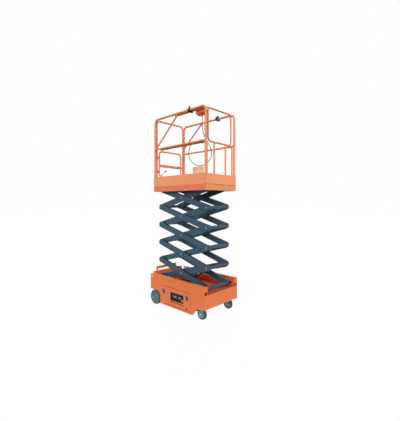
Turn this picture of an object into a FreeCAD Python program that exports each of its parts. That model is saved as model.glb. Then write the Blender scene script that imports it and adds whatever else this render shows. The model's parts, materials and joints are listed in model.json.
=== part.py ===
import FreeCAD, Part
import math
import os
from FreeCAD import Vector as V

os.makedirs("parts", exist_ok=True)

# Self-propelled scissor lift with a small wheeled base, five scissor stages and a railed platform.
# Frame: origin on the ground under the middle of the base, X towards the castors, Y left, Z up.
# All sizes are millimetres and degrees.

# Base
base_length = 1222.0
base_width = 760.0
skin_t = 4.0
skirt_bottom_z = 51.0
side_top_z = 500.0
deck_z = 372.0
floor_z = 100.0
top_flange = 45.0
plate_t = 4.0
floor_inset = 22.0
deck_slot = 620.0
deck_slot_half = 65.0
arch_front = 253.0
arch_height = 245.0
arch_step = 55.0
front_slant_start = 232.0
front_slant_end = 142.0
front_low_z = 172.0
front_panel_top_z = 375.0
corner_r = 30.0
eye_inset = 36.0
eye_drop = 43.0
eye_r = 14.0
bulkhead_rear = 261.0
bulkhead_front = 211.0
rear_plate_inset = 55.0
rear_plate_over = 15.0

# Rear handle
handle_right_inset = 124.5
handle_left_inset = 190.0
handle_leg = 25.0
handle_over = 72.0
handle_foot = 60.0
handle_bar = 42.0
handle_t = 12.0

# Side doors
door_rear_inset = 50.0
door_front_inset = 70.0
door_z0 = 86.0
door_top_drop = 22.0
door_gap = 5.0
door_sill_drop = 11.0
hinge_inset = 10.0
hinge_lift = 4.0
hinge_r = 6.0
hinge_pin_r = 3.0
hinge_fit = 0.3
hinge_end = 100.0
hinge_half = 20.0
hinge_reach = 35.0
latch_rear_inset = 36.0
latch_front_inset = 66.0
latch_z = 268.0
latch_r = 42.0
latch_t = 5.0

# Ground control panel on the right door
panel_front_inset = 146.0
panel_length = 284.0
panel_z0 = 165.0
panel_z1 = 287.0
panel_depth = 26.0
panel_rim = 7.0
panel_floor = 8.0
stop_r = 18.0
stop_inset = 34.0
stop_lift = 32.0
key_r = 12.0
key_inset = 89.0
key_lift = 67.0

# Wheels
wheel_inset_x = 103.0
wheel_r = 118.0
wheel_w = 80.0
wheel_inset_y = 7.5
tyre_edge = 9.0
rim_r = 84.0
rim_lip = 8.0
rim_dish = 22.0
rim_boss_r = 34.0
shaft_r = 18.0
motor_r = 46.0
motor_length = 104.0
shaft_in = 60.0
hanger_half = 52.0
castor_inset_x = 71.0
castor_trail = 46.0
castor_inset_y = 80.0
castor_r = 79.0
castor_w = 44.0
castor_rim_r = 56.0
castor_plate_z = 202.0
castor_crown_z = 175.0
castor_axle_r = 6.0
castor_plate_t = 6.0
castor_edge = 7.0
castor_dish_r = 46.0
castor_side_gap = 4.0
fork_t = 5.0

# Scissor
stages = 5
arm_angle = 15.55
pivot_inset = 82.0
arm_short = 124.3
pivot_z = 430.0
arm_depth = 88.0
arm_t = 34.0
arm_wall = 4.0
arm_gap = 6.0
arm_inset = 208.0
arm_over = 22.0
arm_chamfer = 20.0
pin_r = 15.0
pin_clear = 0.4
pin_head_r = 22.0
pin_head_t = 5.0
boss_half = 23.0
tube_r = 24.0
lug_r = 34.0
lug_t = 12.0
roller_r = 30.7
roller_t = 34.0
roller_gap = 18.0
collar_r = 21.0

# Roller channels
channel_inside = 62.0
channel_t = 4.0
channel_gap = 8.0
channel_lip = 48.0

# Lift cylinder
cyl_foot = 289.0
cyl_base_z = 285.0
cyl_foot_r = 28.0
cyl_arm_s = 260.0
cyl_arm_off = -40.0
cyl_tube_s = 345.0
cyl_r = 40.0
rod_r = 22.0
cyl_body = 430.0
rod_back = 180.0
rod_clear = 0.4
rod_pin_r = 14.0
eye_out_r = 30.0
eye_half = 20.0
ear_gap = 4.0
foot_gap = 1.0
ear_t = 12.0

# Battery and power unit, plain blocks behind the doors
block_gap = 0.3
battery_ends = (100.0, 110.0)
battery_room = 57.0
battery_height = 225.0
battery_inset = 110.0
power_ends = (170.0, 150.0)
power_room = 67.0
power_height = 200.0
power_inset = 120.0

# Platform
plat_rear_over = 40.0
plat_short = 43.0
plat_inset_y = 33.0
floor_rise = 53.6
floor_t = 5.0
seam_drop = 15.0
skirt_depth = 85.0
beam_t = 4.0
beam_flange = 34.0
rib_stations = (89.0, 319.0, 569.0, 719.0)
rib_clear = 10.0
rib_side_gap = 10.0
channel_rear = 769.0
toe_height = 145.0
toe_t = 2.0
toe_lip = 34.0
rail_height = 1113.0
mid_rail_height = 605.0
rail_r = 17.0
mid_rail_r = 14.0
brace_r = 13.0
rear_rail_r = 15.0
seat_gap = 0.3
clamp_clear = 0.2
rail_bend = 70.0
brace_right = (51.0, 592.0, 15.0)
brace_left = (17.0, 479.0, 100.0)
clamp_front = 340.0

# Document box on the lip of the left toe board
doc_x0 = 265.0
doc_x1 = 505.0
doc_height = 205.0
doc_depth = 45.0

# Deck extension
ext_travel = 500.0
ext_overlap = 110.0
ext_rail_r = 13.0
ext_inset_y = 55.0
ext_top_back = 700.0
ext_mid_back = 1055.0
ext_plane = 33.0
ext_loop_inset = 82.0
ext_top_drop = 32.0
ext_low_height = 601.0
ext_mid_height = 593.0
ext_bar_y = 130.0
ext_toe_drop = 6.0
ext_floor_lift = 5.0
ext_bend = 60.0
ext_side_bend = 50.0

# Platform control box
control_length = 170.0
control_front = 95.0
control_depth = 94.0
control_outer_drop = 55.0
control_inner_drop = 92.0
control_face_drop = 26.0
control_over = 8.0
gland_r = 9.0
gland_back = 91.0
gland_side = 43.0
gland_low = 88.952

# Control cable from the box's gland, round a loop, to a clip on the right middle rail
cable_r = 5.0
clip_length = 28.0
clip_under = 11.0
clip_over = 39.0
clip_wall = 2.0
cable_points = [(436.0, -236.0, 2955.0), (436.0, -236.0, 2850.0), (445.0, -238.0, 2735.0)]
cable_points += [(452.0, -200.0, 2635.0), (468.8, -125.8, 2547.8), (520.5, -101.7, 2410.0)]
cable_points += [(468.8, -125.8, 2272.2), (344.0, -184.0, 2215.2), (219.2, -242.2, 2272.2)]
cable_points += [(167.5, -264.0, 2410.0), (210.0, -262.0, 2540.0), (300.0, -265.5, 2572.0)]
cable_points += [(385.0, -266.0, 2577.0), (452.0, -266.0, 2577.0)]

# Gate
gate_inset_y = 102.0
gate_hinge_gap = 26.0
gate_hinge_r = 9.0
gate_pin_r = 4.0
gate_hinge_heights = (245.0, 475.0)
gate_top_height = 590.0
gate_low_height = 158.0
gate_bar_height = 345.0
gate_r = 13.0
gate_bar_t = 12.0
gate_bar_depth = 45.0
gate_bend = 60.0
gate_inset_x = 17.0

half_len = base_length / 2.0
half_w = base_width / 2.0
in_w = half_w - skin_t
bulkhead_rear_x = -half_len + bulkhead_rear
bulkhead_front_x = half_len - bulkhead_front
door_x0 = bulkhead_rear_x + door_rear_inset
door_x1 = bulkhead_front_x - door_front_inset
door_z1 = deck_z - door_top_drop
latch_xs = (door_x0 + latch_rear_inset, door_x1 - latch_front_inset)
wheel_x = -half_len + wheel_inset_x
wheel_face_y = half_w - wheel_inset_y
swivel_x = half_len - castor_inset_x
castor_x = swivel_x - castor_trail
castor_y = half_w - castor_inset_y
angle = math.radians(arm_angle)
arm_length = base_length - arm_short
pivot_x = -half_len + pivot_inset
rise = arm_length * math.sin(angle)
inner_y = half_w - arm_inset
outer_y = inner_y + arm_t + arm_gap
outer_face = outer_y + arm_t
front_x = pivot_x + arm_length * math.cos(angle)
top_pivot_z = pivot_z + stages * rise
roller_y0 = outer_face + roller_gap
channel_web = roller_y0 + roller_t + channel_gap
half_ch = channel_inside / 2.0
plat_x0 = pivot_x - plat_rear_over
plat_x1 = plat_x0 + base_length - plat_short
plat_half = half_w - plat_inset_y
deck_top_z = top_pivot_z + floor_rise
seam_z = deck_top_z - seam_drop
skirt_low_z = seam_z - skirt_depth
toe_top_z = deck_top_z + toe_height
rail_top_z = deck_top_z + rail_height
mid_rail_z = deck_top_z + mid_rail_height
rail_y = plat_half - rail_r
rail_z = rail_top_z - rail_r
rail_front_x = plat_x1 - rail_r
rail_rear_x = plat_x0 + rail_r
clamp_x = plat_x1 - clamp_front
ext_rail_y = plat_half - ext_inset_y
ext_top_back_x = plat_x1 - ext_top_back
ext_mid_back_x = plat_x1 - ext_mid_back
ext_plane_x = plat_x1 - ext_plane
ext_half = plat_half - ext_loop_inset
ext_top_z = rail_top_z - ext_top_drop
ext_low_z = deck_top_z + ext_low_height
ext_mid_z = deck_top_z + ext_mid_height
ext_toe_top_z = toe_top_z - ext_toe_drop
gate_plane_x = plat_x0 + gate_inset_x
gate_half = plat_half - gate_inset_y


def box(x0, x1, y0, y1, z0, z1):
    return Part.makeBox(abs(x1 - x0), abs(y1 - y0), abs(z1 - z0), V(min(x0, x1), min(y0, y1), min(z0, z1)))


def rod_y(x, z, r, y0, y1):
    return Part.makeCylinder(r, abs(y1 - y0), V(x, min(y0, y1), z), V(0, 1, 0))


def rod_z(x, y, r, z0, z1):
    return Part.makeCylinder(r, abs(z1 - z0), V(x, y, min(z0, z1)), V(0, 0, 1))


def rod_x(y, z, r, x0, x1):
    return Part.makeCylinder(r, abs(x1 - x0), V(min(x0, x1), y, z), V(1, 0, 0))


def fuse(shapes):
    result = shapes[0]
    if len(shapes) > 1:
        result = result.fuse(shapes[1:])
    return result.removeSplitter()


def cut(shape, tools):
    for tool in tools:
        shape = shape.cut(tool)
    return shape


def prism_y(points, y0, y1):
    """A plate with an X-Z outline, from y0 to y1."""
    low = min(y0, y1)
    loop = [V(x, low, z) for x, z in points]
    face = Part.Face(Part.makePolygon(loop + [loop[0]]))
    return face.extrude(V(0, abs(y1 - y0), 0))


def mirror_y(shape):
    return shape.mirror(V(0, 0, 0), V(0, 1, 0))


def both(shape):
    """The shape and its mirror image on the other side."""
    return Part.makeCompound([shape, mirror_y(shape)])


def export(shape, name):
    shape.exportStep("parts/" + name + ".step")


def bent_rod(points, bend, r, closed=False):
    """A round bar through the points, straight between corners and turned on an arc at each corner."""
    pieces = []
    count = len(points)
    corners = range(count) if closed else range(1, count - 1)
    starts = {}
    ends = {}
    for i in corners:
        p = points[i]
        a = (points[(i - 1) % count] - p).normalize()
        b = (points[(i + 1) % count] - p).normalize()
        turn = math.pi - a.getAngle(b)
        back = bend * math.tan(turn / 2.0)
        starts[i] = p + a * back
        ends[i] = p + b * back
        normal = (b.cross(a)).normalize()
        centre = starts[i] + normal.cross(a).normalize() * bend
        if abs((centre - ends[i]).Length - bend) > 0.01:
            centre = starts[i] - normal.cross(a).normalize() * bend
        disc = Part.Face(Part.Wire(Part.makeCircle(r, starts[i], a * -1)))
        spin = (starts[i] - centre).cross(a * -1)
        pieces.append(disc.revolve(centre, spin, math.degrees(turn)))
    spans = range(count) if closed else range(count - 1)
    for i in spans:
        j = (i + 1) % count
        p = ends.get(i, points[i])
        q = starts.get(j, points[j])
        pieces.append(Part.makeCylinder(r, (q - p).Length, p, q - p))
    return fuse(pieces)


def welded(runs):
    """Bent bars joined into one frame; each run is (points, bend radius, bar radius, closed loop)."""
    return fuse([bent_rod(points, bend, r, closed) for points, bend, r, closed in runs])


def flip(points):
    return [V(p.x, -p.y, p.z) for p in points]


# Scissor geometry at rest

def rear_joint(i):
    return V(pivot_x, 0, pivot_z + i * rise)


def front_joint(i):
    return V(front_x, 0, pivot_z + i * rise)


def arm_frame(low, high):
    """Placement that lays a beam drawn along X, with its middle at the origin, between two joints."""
    mid = (low + high) * 0.5
    d = high - low
    tilt = math.degrees(math.atan2(d.z, d.x))
    return FreeCAD.Placement(mid, FreeCAD.Rotation(V(0, 1, 0), -tilt))


half_arm = arm_length / 2.0


def beam(y0, bores, bore_r):
    """A box-section arm drawn along X, solid only around its three bosses, with bores at the stations."""
    half = half_arm + arm_over
    h = arm_depth / 2.0
    c = arm_chamfer
    line = [(-half, h - c), (-half + c, h), (half - c, h), (half, h - c)]
    line += [(half, c - h), (half - c, -h), (-half + c, -h), (-half, c - h)]
    body = prism_y(line, y0, y0 + arm_t)
    for start in (-half_arm, 0.0):
        x0 = start + boss_half
        x1 = start + half_arm - boss_half
        hollow = box(x0, x1, y0 + arm_wall, y0 + arm_t - arm_wall, -h + arm_wall, h - arm_wall)
        body = body.cut(hollow)
    return cut(body, [rod_y(s, 0, bore_r, y0 - 1, y0 + arm_t + 1) for s in bores])


def stub_axle(s, y0, y1, collar):
    """A stub axle outwards from an arm's face at y0, with a collar that keeps the roller off it."""
    axle = rod_y(s, 0, pin_r, y0, y1)
    return axle.fuse(rod_y(s, 0, collar_r, y0, collar)).removeSplitter()


stub_end = roller_y0 + roller_t + 2.0
collar_end = roller_y0 - 2.0


def outer_arm(i):
    if i > 1:
        return both(beam(outer_y, [-half_arm, 0, half_arm], pin_r + pin_clear))
    # The lowest pair is joined by the cross tube that carries the base rollers.
    part = beam(outer_y, [-half_arm, 0], pin_r + pin_clear)
    axle = stub_axle(half_arm, outer_face, stub_end, collar_end)
    pair = [part, mirror_y(part), rod_y(half_arm, 0, tube_r, -outer_y, outer_y), axle, mirror_y(axle)]
    return fuse(pair)


def arm_pin(s, y1):
    """A pin fixed in an inner arm, with its head outside at y1."""
    pin = rod_y(s, 0, pin_r, inner_y + arm_t, y1)
    return pin.fuse(rod_y(s, 0, pin_head_r, y1, y1 + pin_head_t))


def inner_arm(i):
    part = beam(inner_y, [], pin_r)
    pin_end = outer_face + 2.0
    lug_end = outer_y + lug_t + 2.0
    pins = [arm_pin(-half_arm, lug_end if i == 1 else pin_end), arm_pin(0, pin_end)]
    if i < stages:
        pins.append(arm_pin(half_arm, pin_end))
    else:
        pins.append(stub_axle(half_arm, inner_y + arm_t, stub_end, collar_end))
    side = fuse([part] + pins)
    tubes = [rod_y(s, 0, tube_r, -inner_y, inner_y) for s in (-half_arm, half_arm)]
    pieces = [side, mirror_y(side)] + tubes
    if i == 1:
        # Cross tube and two ears that hold the lift cylinder's rod.
        pieces += [rod_y(cyl_tube_s, 0, tube_r, -inner_y, inner_y)]
        for way in (-1, 1):
            y0 = way * (eye_half + ear_gap)
            y1 = way * (eye_half + ear_gap + ear_t)
            line = [(cyl_tube_s - 14, 26), (cyl_tube_s + 26, 0), (cyl_tube_s, -30)]
            line += [(cyl_arm_s + 10, cyl_arm_off - 26), (cyl_arm_s - 22, cyl_arm_off - 16)]
            line += [(cyl_arm_s - 26, cyl_arm_off + 12)]
            ear = prism_y(line, y0, y1)
            pin = rod_y(cyl_arm_s, cyl_arm_off, rod_pin_r, y0 - way * 2.5, y1 + way * 8.0)
            pieces += [ear, pin]
    return fuse(pieces)


def place(shape, low, high):
    shape = shape.copy()
    shape.Placement = arm_frame(low, high)
    return shape


for i in range(1, stages + 1):
    # Outer beams are drawn with +X towards the front-low joint.
    export(place(outer_arm(i), rear_joint(i), front_joint(i - 1)), "outer_arm_%d" % i)
    export(place(inner_arm(i), rear_joint(i - 1), front_joint(i)), "inner_arm_%d" % i)


# Rollers on the stub axles

def roller_pair(z):
    wheel = rod_y(front_x, z, roller_r, roller_y0, roller_y0 + roller_t)
    return both(wheel.cut(rod_y(front_x, z, pin_r, roller_y0 - 1, roller_y0 + roller_t + 1)))


export(roller_pair(pivot_z), "base_rollers")
export(roller_pair(top_pivot_z), "platform_rollers")


def roller_channel(x0, x1, z, foot_z, head_z):
    """A channel open towards the arms, its web reaching from foot_z to head_z."""
    web_out = channel_web + channel_t
    lip = channel_web - channel_lip
    low_z = z - half_ch - channel_t
    high_z = z + half_ch + channel_t
    web = box(x0, x1, channel_web, web_out, min(foot_z, low_z), max(head_z, high_z))
    low = box(x0, x1, lip, web_out, low_z, low_z + channel_t)
    high = box(x0, x1, lip, web_out, high_z - channel_t, high_z)
    return fuse([web, low, high])


# Base: floor, deck, cross walls, roller channels, lugs and the cylinder's foot
floor_half = in_w - floor_inset
floor_top = floor_z + plate_t
deck_low = deck_z - plate_t
floor = box(bulkhead_rear_x, bulkhead_front_x, -floor_half, floor_half, floor_z, floor_top)
export(floor, "base_floor")
deck = box(-half_len + plate_t, half_len - plate_t, -in_w, in_w, deck_low, deck_z)
slot_x0 = bulkhead_rear_x + 30.0
slot_x1 = slot_x0 + deck_slot
deck = deck.cut(box(slot_x0, slot_x1, -deck_slot_half, deck_slot_half, deck_low - 1, deck_z + 1))
export(deck, "base_deck")
rear_plate_half = half_w - rear_plate_inset
rear_plate_top_z = side_top_z + rear_plate_over
castor_plate_x0 = bulkhead_front_x + plate_t + seat_gap
walls = [box(bulkhead_rear_x - plate_t, bulkhead_rear_x, -in_w, in_w, floor_z, deck_low)]
walls += [box(bulkhead_front_x, bulkhead_front_x + plate_t, -in_w, in_w, floor_z, deck_low)]
rear_x0 = -half_len
walls += [box(rear_x0, rear_x0 + plate_t, -rear_plate_half, rear_plate_half, arch_height, rear_plate_top_z)]
castor_plate_top = castor_plate_z + castor_plate_t
walls += [box(castor_plate_x0, half_len - plate_t, -in_w, in_w, castor_plate_z, castor_plate_top)]
export(Part.makeCompound(walls), "base_walls")
channel = roller_channel(-half_len + plate_t, half_len - plate_t, pivot_z, deck_z, pivot_z)
export(both(channel), "base_channels")
lug = box(pivot_x - lug_r, pivot_x + lug_r, outer_y, outer_y + lug_t, deck_z, pivot_z)
lug = lug.fuse(rod_y(pivot_x, pivot_z, lug_r, outer_y, outer_y + lug_t)).removeSplitter()
lug = lug.cut(rod_y(pivot_x, pivot_z, pin_r + pin_clear, outer_y - 1, outer_y + lug_t + 1))
scissor_lugs = [lug, mirror_y(lug)]
cyl_base_x = pivot_x + cyl_foot
foot_y0 = eye_half + foot_gap
foot_y1 = foot_y0 + ear_t
ear = box(cyl_base_x - cyl_foot_r, cyl_base_x + cyl_foot_r, foot_y0, foot_y1, floor_top, cyl_base_z)
ear = ear.fuse(rod_y(cyl_base_x, cyl_base_z, cyl_foot_r, foot_y0, foot_y1))
foot_pin = rod_y(cyl_base_x, cyl_base_z, pin_r, -foot_y1 - 3, foot_y1 + 3)
cylinder_foot = fuse([ear, mirror_y(ear), foot_pin])
export(Part.makeCompound(scissor_lugs + [cylinder_foot]), "base_lugs")

# Side skins with the wheel arch, the slanted front skirt and the door opening
slant_start_x = half_len - front_slant_start
slant_end_x = half_len - front_slant_end
arch_front_x = -half_len + arch_front
line = [(-half_len, arch_height), (-half_len, side_top_z - corner_r)]
line += [(-half_len + corner_r * 0.3, side_top_z - corner_r * 0.3), (-half_len + corner_r, side_top_z)]
line += [(half_len, side_top_z), (half_len, front_low_z), (slant_end_x + 20, front_low_z - 12)]
line += [(slant_end_x, front_low_z - 15), (slant_start_x, skirt_bottom_z)]
line += [(arch_front_x, skirt_bottom_z), (arch_front_x, arch_height - arch_step)]
line += [(arch_front_x - arch_step, arch_height)]
skin = prism_y(line, in_w, half_w)
sill_z = door_z0 - door_sill_drop
opening = box(door_x0 - door_gap, door_x1 + door_gap, 0, half_w + 5, sill_z, door_z1 + door_gap)
eye = rod_y(-half_len + eye_inset, side_top_z - eye_drop, eye_r, 0, half_w + 5)
skin = cut(skin, [opening, eye])
flange_y1 = in_w - seat_gap
flange = box(-half_len + corner_r, half_len, half_w - top_flange, flange_y1, side_top_z - skin_t, side_top_z)
end_z0 = front_panel_top_z + 45.0
end_flange = box(half_len - skin_t, half_len, half_w - 70, flange_y1, end_z0, side_top_z - skin_t - seat_gap)
sides = [skin, flange, end_flange]
export(Part.makeCompound(sides + [mirror_y(piece) for piece in sides]), "side_skins")
front = box(half_len - plate_t, half_len, -in_w, in_w, front_low_z, front_panel_top_z)
export(front, "front_panel")

# Rear handle: an upright loop of flat plate over the rear end
handle_y0 = handle_right_inset - half_w
handle_y1 = half_w - handle_left_inset
handle_top_z = rear_plate_top_z + handle_over
hx = -half_len
foot_z = rear_plate_top_z - handle_foot
loop = box(hx - handle_t, hx, handle_y0, handle_y1, foot_z, handle_top_z)
grip_y0 = handle_y0 + handle_leg
grip_y1 = handle_y1 - handle_leg
loop = loop.cut(box(hx - handle_t - 1, hx + 1, grip_y0, grip_y1, foot_z - 1, handle_top_z - handle_bar))
export(loop, "rear_handle")


# Battery block and power unit block

def plain_block(ends, room, height, inset):
    x0 = bulkhead_rear_x + ends[0]
    x1 = bulkhead_front_x - ends[1]
    z0 = floor_top + block_gap
    return box(x0, x1, foot_y1 + room, half_w - inset, z0, z0 + height)


export(plain_block(battery_ends, battery_room, battery_height, battery_inset), "battery_block")
power_unit = plain_block(power_ends, power_room, power_height, power_inset)
export(mirror_y(power_unit), "power_unit_block")

# Doors, drawn on the left and mirrored
hinge_y = half_w - hinge_inset
hinge_z = door_z0 + hinge_lift
hinge_xs = (door_x0 + hinge_end, door_x1 - hinge_end)
panel_x1 = door_x1 - panel_front_inset
panel_x0 = panel_x1 - panel_length


def door(with_window):
    pieces = [box(door_x0, door_x1, in_w, half_w, door_z0, door_z1)]
    for x in hinge_xs:
        pieces += [box(x - hinge_half, x + hinge_half, in_w - plate_t, in_w, hinge_z, hinge_z + 34)]
        pieces += [rod_x(hinge_y, hinge_z, hinge_r, x - hinge_half, x + hinge_half)]
    body = fuse(pieces)
    if with_window:
        body = body.cut(box(panel_x0, panel_x1, in_w - 5, half_w + 5, panel_z0, panel_z1))
    bore = hinge_pin_r + hinge_fit
    reach = hinge_half + 1
    return cut(body, [rod_x(hinge_y, hinge_z, bore, x - reach, x + reach) for x in hinge_xs])


def hinge_fixed(x):
    """Pin, two end knuckles and their leaf under the floor plate."""
    pieces = [rod_x(hinge_y, hinge_z, hinge_pin_r, x - hinge_reach, x + hinge_reach)]
    leaf_z1 = floor_z - seat_gap
    for x0, x1 in ((x - hinge_reach, x - hinge_half - 1), (x + hinge_half + 1, x + hinge_reach)):
        pieces += [rod_x(hinge_y, hinge_z, hinge_r, x0, x1)]
        pieces += [box(x0, x1, hinge_y - 4, hinge_y + 2, hinge_z, leaf_z1)]
        pieces += [box(x0, x1, floor_half - 24, hinge_y + 2, leaf_z1 - 3, leaf_z1)]
    return fuse(pieces)


export(door(False), "side_door_left")
export(mirror_y(door(True)), "side_door_right")
latches = []
for x in latch_xs:
    disc = rod_y(x, latch_z, latch_r, half_w, half_w + latch_t)
    grip = box(x - 30, x + 30, half_w + latch_t - 1, half_w + latch_t + 5, latch_z - 8, latch_z + 8)
    latches.append(disc.fuse(grip).removeSplitter())
latches = Part.makeCompound(latches)
export(latches, "door_latches_left")
export(mirror_y(latches), "door_latches_right")
export(both(Part.makeCompound([hinge_fixed(x) for x in hinge_xs])), "door_hinges")

# Ground control panel: a shallow tray set in the right door's window
tray = box(panel_x0, panel_x1, half_w - panel_depth, half_w + 4, panel_z0, panel_z1)
face_y = half_w - panel_floor
rim = panel_rim
tray = tray.cut(box(panel_x0 + rim, panel_x1 - rim, face_y, half_w + 10, panel_z0 + rim, panel_z1 - rim))
export(mirror_y(tray), "ground_panel")
stop_x = panel_x1 - stop_inset
stop_z = panel_z0 + stop_lift
stop = rod_y(stop_x, stop_z, stop_r * 0.7, face_y, face_y + 6)
stop = stop.fuse(rod_y(stop_x, stop_z, stop_r, face_y + 6, face_y + 20))
export(mirror_y(stop.removeSplitter()), "stop_button")
key_x = panel_x1 - key_inset
key_z = panel_z0 + key_lift
key = rod_y(key_x, key_z, key_r, face_y, face_y + 10)
key = key.fuse(box(key_x - 3, key_x + 3, face_y + 10, face_y + 22, key_z - 10, key_z + 10))
export(mirror_y(key.removeSplitter()), "key_switch")

# Drive wheels and their motors
inner_face = wheel_face_y - wheel_w
motor_y1 = inner_face - 6.0
motor = rod_y(wheel_x, wheel_r, motor_r, motor_y1 - motor_length, motor_y1)
motor = motor.fuse(rod_y(wheel_x, wheel_r, shaft_r, motor_y1, inner_face + shaft_in))
hang = box(wheel_x - hanger_half, wheel_x + hanger_half, motor_y1 - 14, motor_y1 - 6, wheel_r, deck_low)
motor = motor.fuse(hang).removeSplitter()
export(both(motor), "drive_motors")


def tyre(x, y0, y1, r, bore_r, edge):
    """A solid tyre with bevelled shoulders, its axis along Y at the height of its own radius."""
    line = [V(x, y0, r + bore_r), V(x, y0, 2 * r - edge), V(x, y0 + edge, 2 * r)]
    line += [V(x, y1 - edge, 2 * r), V(x, y1, 2 * r - edge), V(x, y1, r + bore_r)]
    face = Part.Face(Part.makePolygon(line + [line[0]]))
    return face.revolve(V(x, 0, r), V(0, 1, 0), 360)


drive_tyre = tyre(wheel_x, inner_face, wheel_face_y, wheel_r, rim_r, tyre_edge)
well_r = rim_r - rim_lip
rim = rod_y(wheel_x, wheel_r, rim_r, inner_face, wheel_face_y)
rim = rim.cut(rod_y(wheel_x, wheel_r, well_r, wheel_face_y - rim_dish, wheel_face_y + 1))
rim = rim.fuse(rod_y(wheel_x, wheel_r, rim_boss_r, wheel_face_y - rim_dish, wheel_face_y - 6))
rim = rim.removeSplitter()
rim = rim.cut(rod_y(wheel_x, wheel_r, shaft_r + pin_clear, inner_face - 1, inner_face + shaft_in + 1))
export(drive_tyre, "rear_tyre_left")
export(rim, "rear_rim_left")
export(mirror_y(drive_tyre), "rear_tyre_right")
export(mirror_y(rim), "rear_rim_right")

# Swivel castors
head = rod_z(swivel_x, castor_y, 36, castor_crown_z + seat_gap, castor_plate_z - 6)
plate = box(swivel_x - 50, swivel_x + 50, castor_y - 50, castor_y + 50, castor_plate_z - 6, castor_plate_z)
head = head.fuse(plate)
export(both(head.removeSplitter()), "castor_heads")
fork = [rod_z(swivel_x, castor_y, 38, castor_r * 2 + 5, castor_crown_z)]
fork_gap = castor_w / 2.0 + castor_side_gap
for side in (-1, 1):
    y0 = castor_y + side * fork_gap
    y1 = castor_y + side * (fork_gap + fork_t)
    line = [(swivel_x - 26, castor_crown_z), (swivel_x + 26, castor_crown_z), (castor_x + 15, castor_r - 8)]
    line += [(castor_x + 6, castor_r - 17), (castor_x - 6, castor_r - 17), (castor_x - 15, castor_r - 8)]
    fork += [prism_y(line, y0, y1)]
    fork += [rod_y(castor_x, castor_r, 10, y1, y1 + side * 5)]
fork += [rod_y(castor_x, castor_r, castor_axle_r, castor_y - fork_gap, castor_y + fork_gap)]
fork = fuse(fork)
castor_y0 = castor_y - castor_w / 2.0
castor_y1 = castor_y + castor_w / 2.0
c_tyre = tyre(castor_x, castor_y0, castor_y1, castor_r, castor_rim_r, castor_edge)
c_hub = rod_y(castor_x, castor_r, castor_rim_r, castor_y0 + 4, castor_y1 - 4)
dish = rod_y(castor_x, castor_r, castor_dish_r, castor_y1 - 12, castor_y1)
c_hub = c_hub.cut(dish.cut(rod_y(castor_x, castor_r, 18, castor_y1 - 13, castor_y1 + 1)))
c_hub = c_hub.cut(rod_y(castor_x, castor_r, castor_axle_r + pin_clear, castor_y0 - 1, castor_y1 + 1))
for shape, name in ((fork, "castor_fork"), (c_tyre, "castor_tyre"), (c_hub, "castor_hub")):
    export(shape, name + "_left")
    export(mirror_y(shape), name + "_right")

# Lift cylinder between the base and the lowest inner arm
arm1 = arm_frame(rear_joint(0), front_joint(1))
rod_end = arm1.multVec(V(cyl_arm_s, 0, cyl_arm_off))
foot = V(cyl_base_x, 0, cyl_base_z)
reach = (rod_end - foot).Length
way = (rod_end - foot).normalize()
barrel = rod_y(foot.x, foot.z, eye_out_r, -eye_half, eye_half)
barrel = barrel.fuse(Part.makeCylinder(cyl_r, cyl_body - 70, foot + way * 70, way))
barrel = barrel.fuse(Part.makeCylinder(eye_half, 72, foot, way))
bore_r = rod_r + rod_clear
barrel = barrel.cut(Part.makeCylinder(bore_r, cyl_body, foot + way * 90, way))
barrel = barrel.cut(rod_y(foot.x, foot.z, pin_r + pin_clear, -eye_half - 1, eye_half + 1))
export(barrel.removeSplitter(), "cylinder_barrel")
rod = Part.makeCylinder(rod_r, reach - rod_back - 20.0, foot + way * rod_back, way)
rod = rod.fuse(rod_y(rod_end.x, rod_end.z, eye_out_r, -eye_half, eye_half))
rod = rod.cut(rod_y(rod_end.x, rod_end.z, rod_pin_r + 1.0, -eye_half - 1, eye_half + 1))
export(rod.removeSplitter(), "cylinder_rod")

# Platform: floor with ribs, beams and end plates, roller channels and lugs
beam_out = plat_half - toe_t
beam_in = beam_out - beam_t
floor_low = deck_top_z - floor_t
front_in = plat_x1 - beam_t
slab = [box(plat_x0, plat_x1 - 8, -beam_in + seat_gap, beam_in - seat_gap, floor_low, deck_top_z)]
rib_z0 = top_pivot_z + tube_r + rib_clear
rib_half = inner_y - rib_side_gap
for station in rib_stations:
    x = plat_x0 + station
    slab += [box(x - 2, x + 2, -rib_half, rib_half, rib_z0, floor_low)]
export(fuse(slab), "platform_floor")
side_x0 = plat_x0 + beam_t + seat_gap
side_x1 = front_in - seat_gap
side_beam = box(side_x0, side_x1, beam_in, beam_out, skirt_low_z, deck_top_z)
flange = box(side_x0, side_x1, beam_out - beam_flange, beam_out, skirt_low_z, skirt_low_z + beam_t)
side_beam = side_beam.fuse(flange).removeSplitter()
ends = [box(front_in, plat_x1, -beam_out, beam_out, skirt_low_z, seam_z)]
ends += [box(plat_x0, plat_x0 + beam_t, -beam_out, beam_out, skirt_low_z, floor_low)]
export(Part.makeCompound([side_beam, mirror_y(side_beam)] + ends), "platform_frame")
channel = roller_channel(plat_x0 + channel_rear, front_in, top_pivot_z, top_pivot_z, floor_low)
export(both(channel), "platform_channels")
lug_y1 = outer_y - arm_gap
lug_y0 = lug_y1 - lug_t
lug = box(pivot_x - lug_r, pivot_x + lug_r, lug_y0, lug_y1, top_pivot_z, floor_low)
lug = lug.fuse(rod_y(pivot_x, top_pivot_z, lug_r, lug_y0, lug_y1))
pin = rod_y(pivot_x, top_pivot_z, pin_r, lug_y1, outer_face + 2)
pin = pin.fuse(rod_y(pivot_x, top_pivot_z, pin_head_r, outer_face + 2, outer_face + 2 + pin_head_t))
export(both(fuse([lug, pin])), "platform_lugs")

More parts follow.
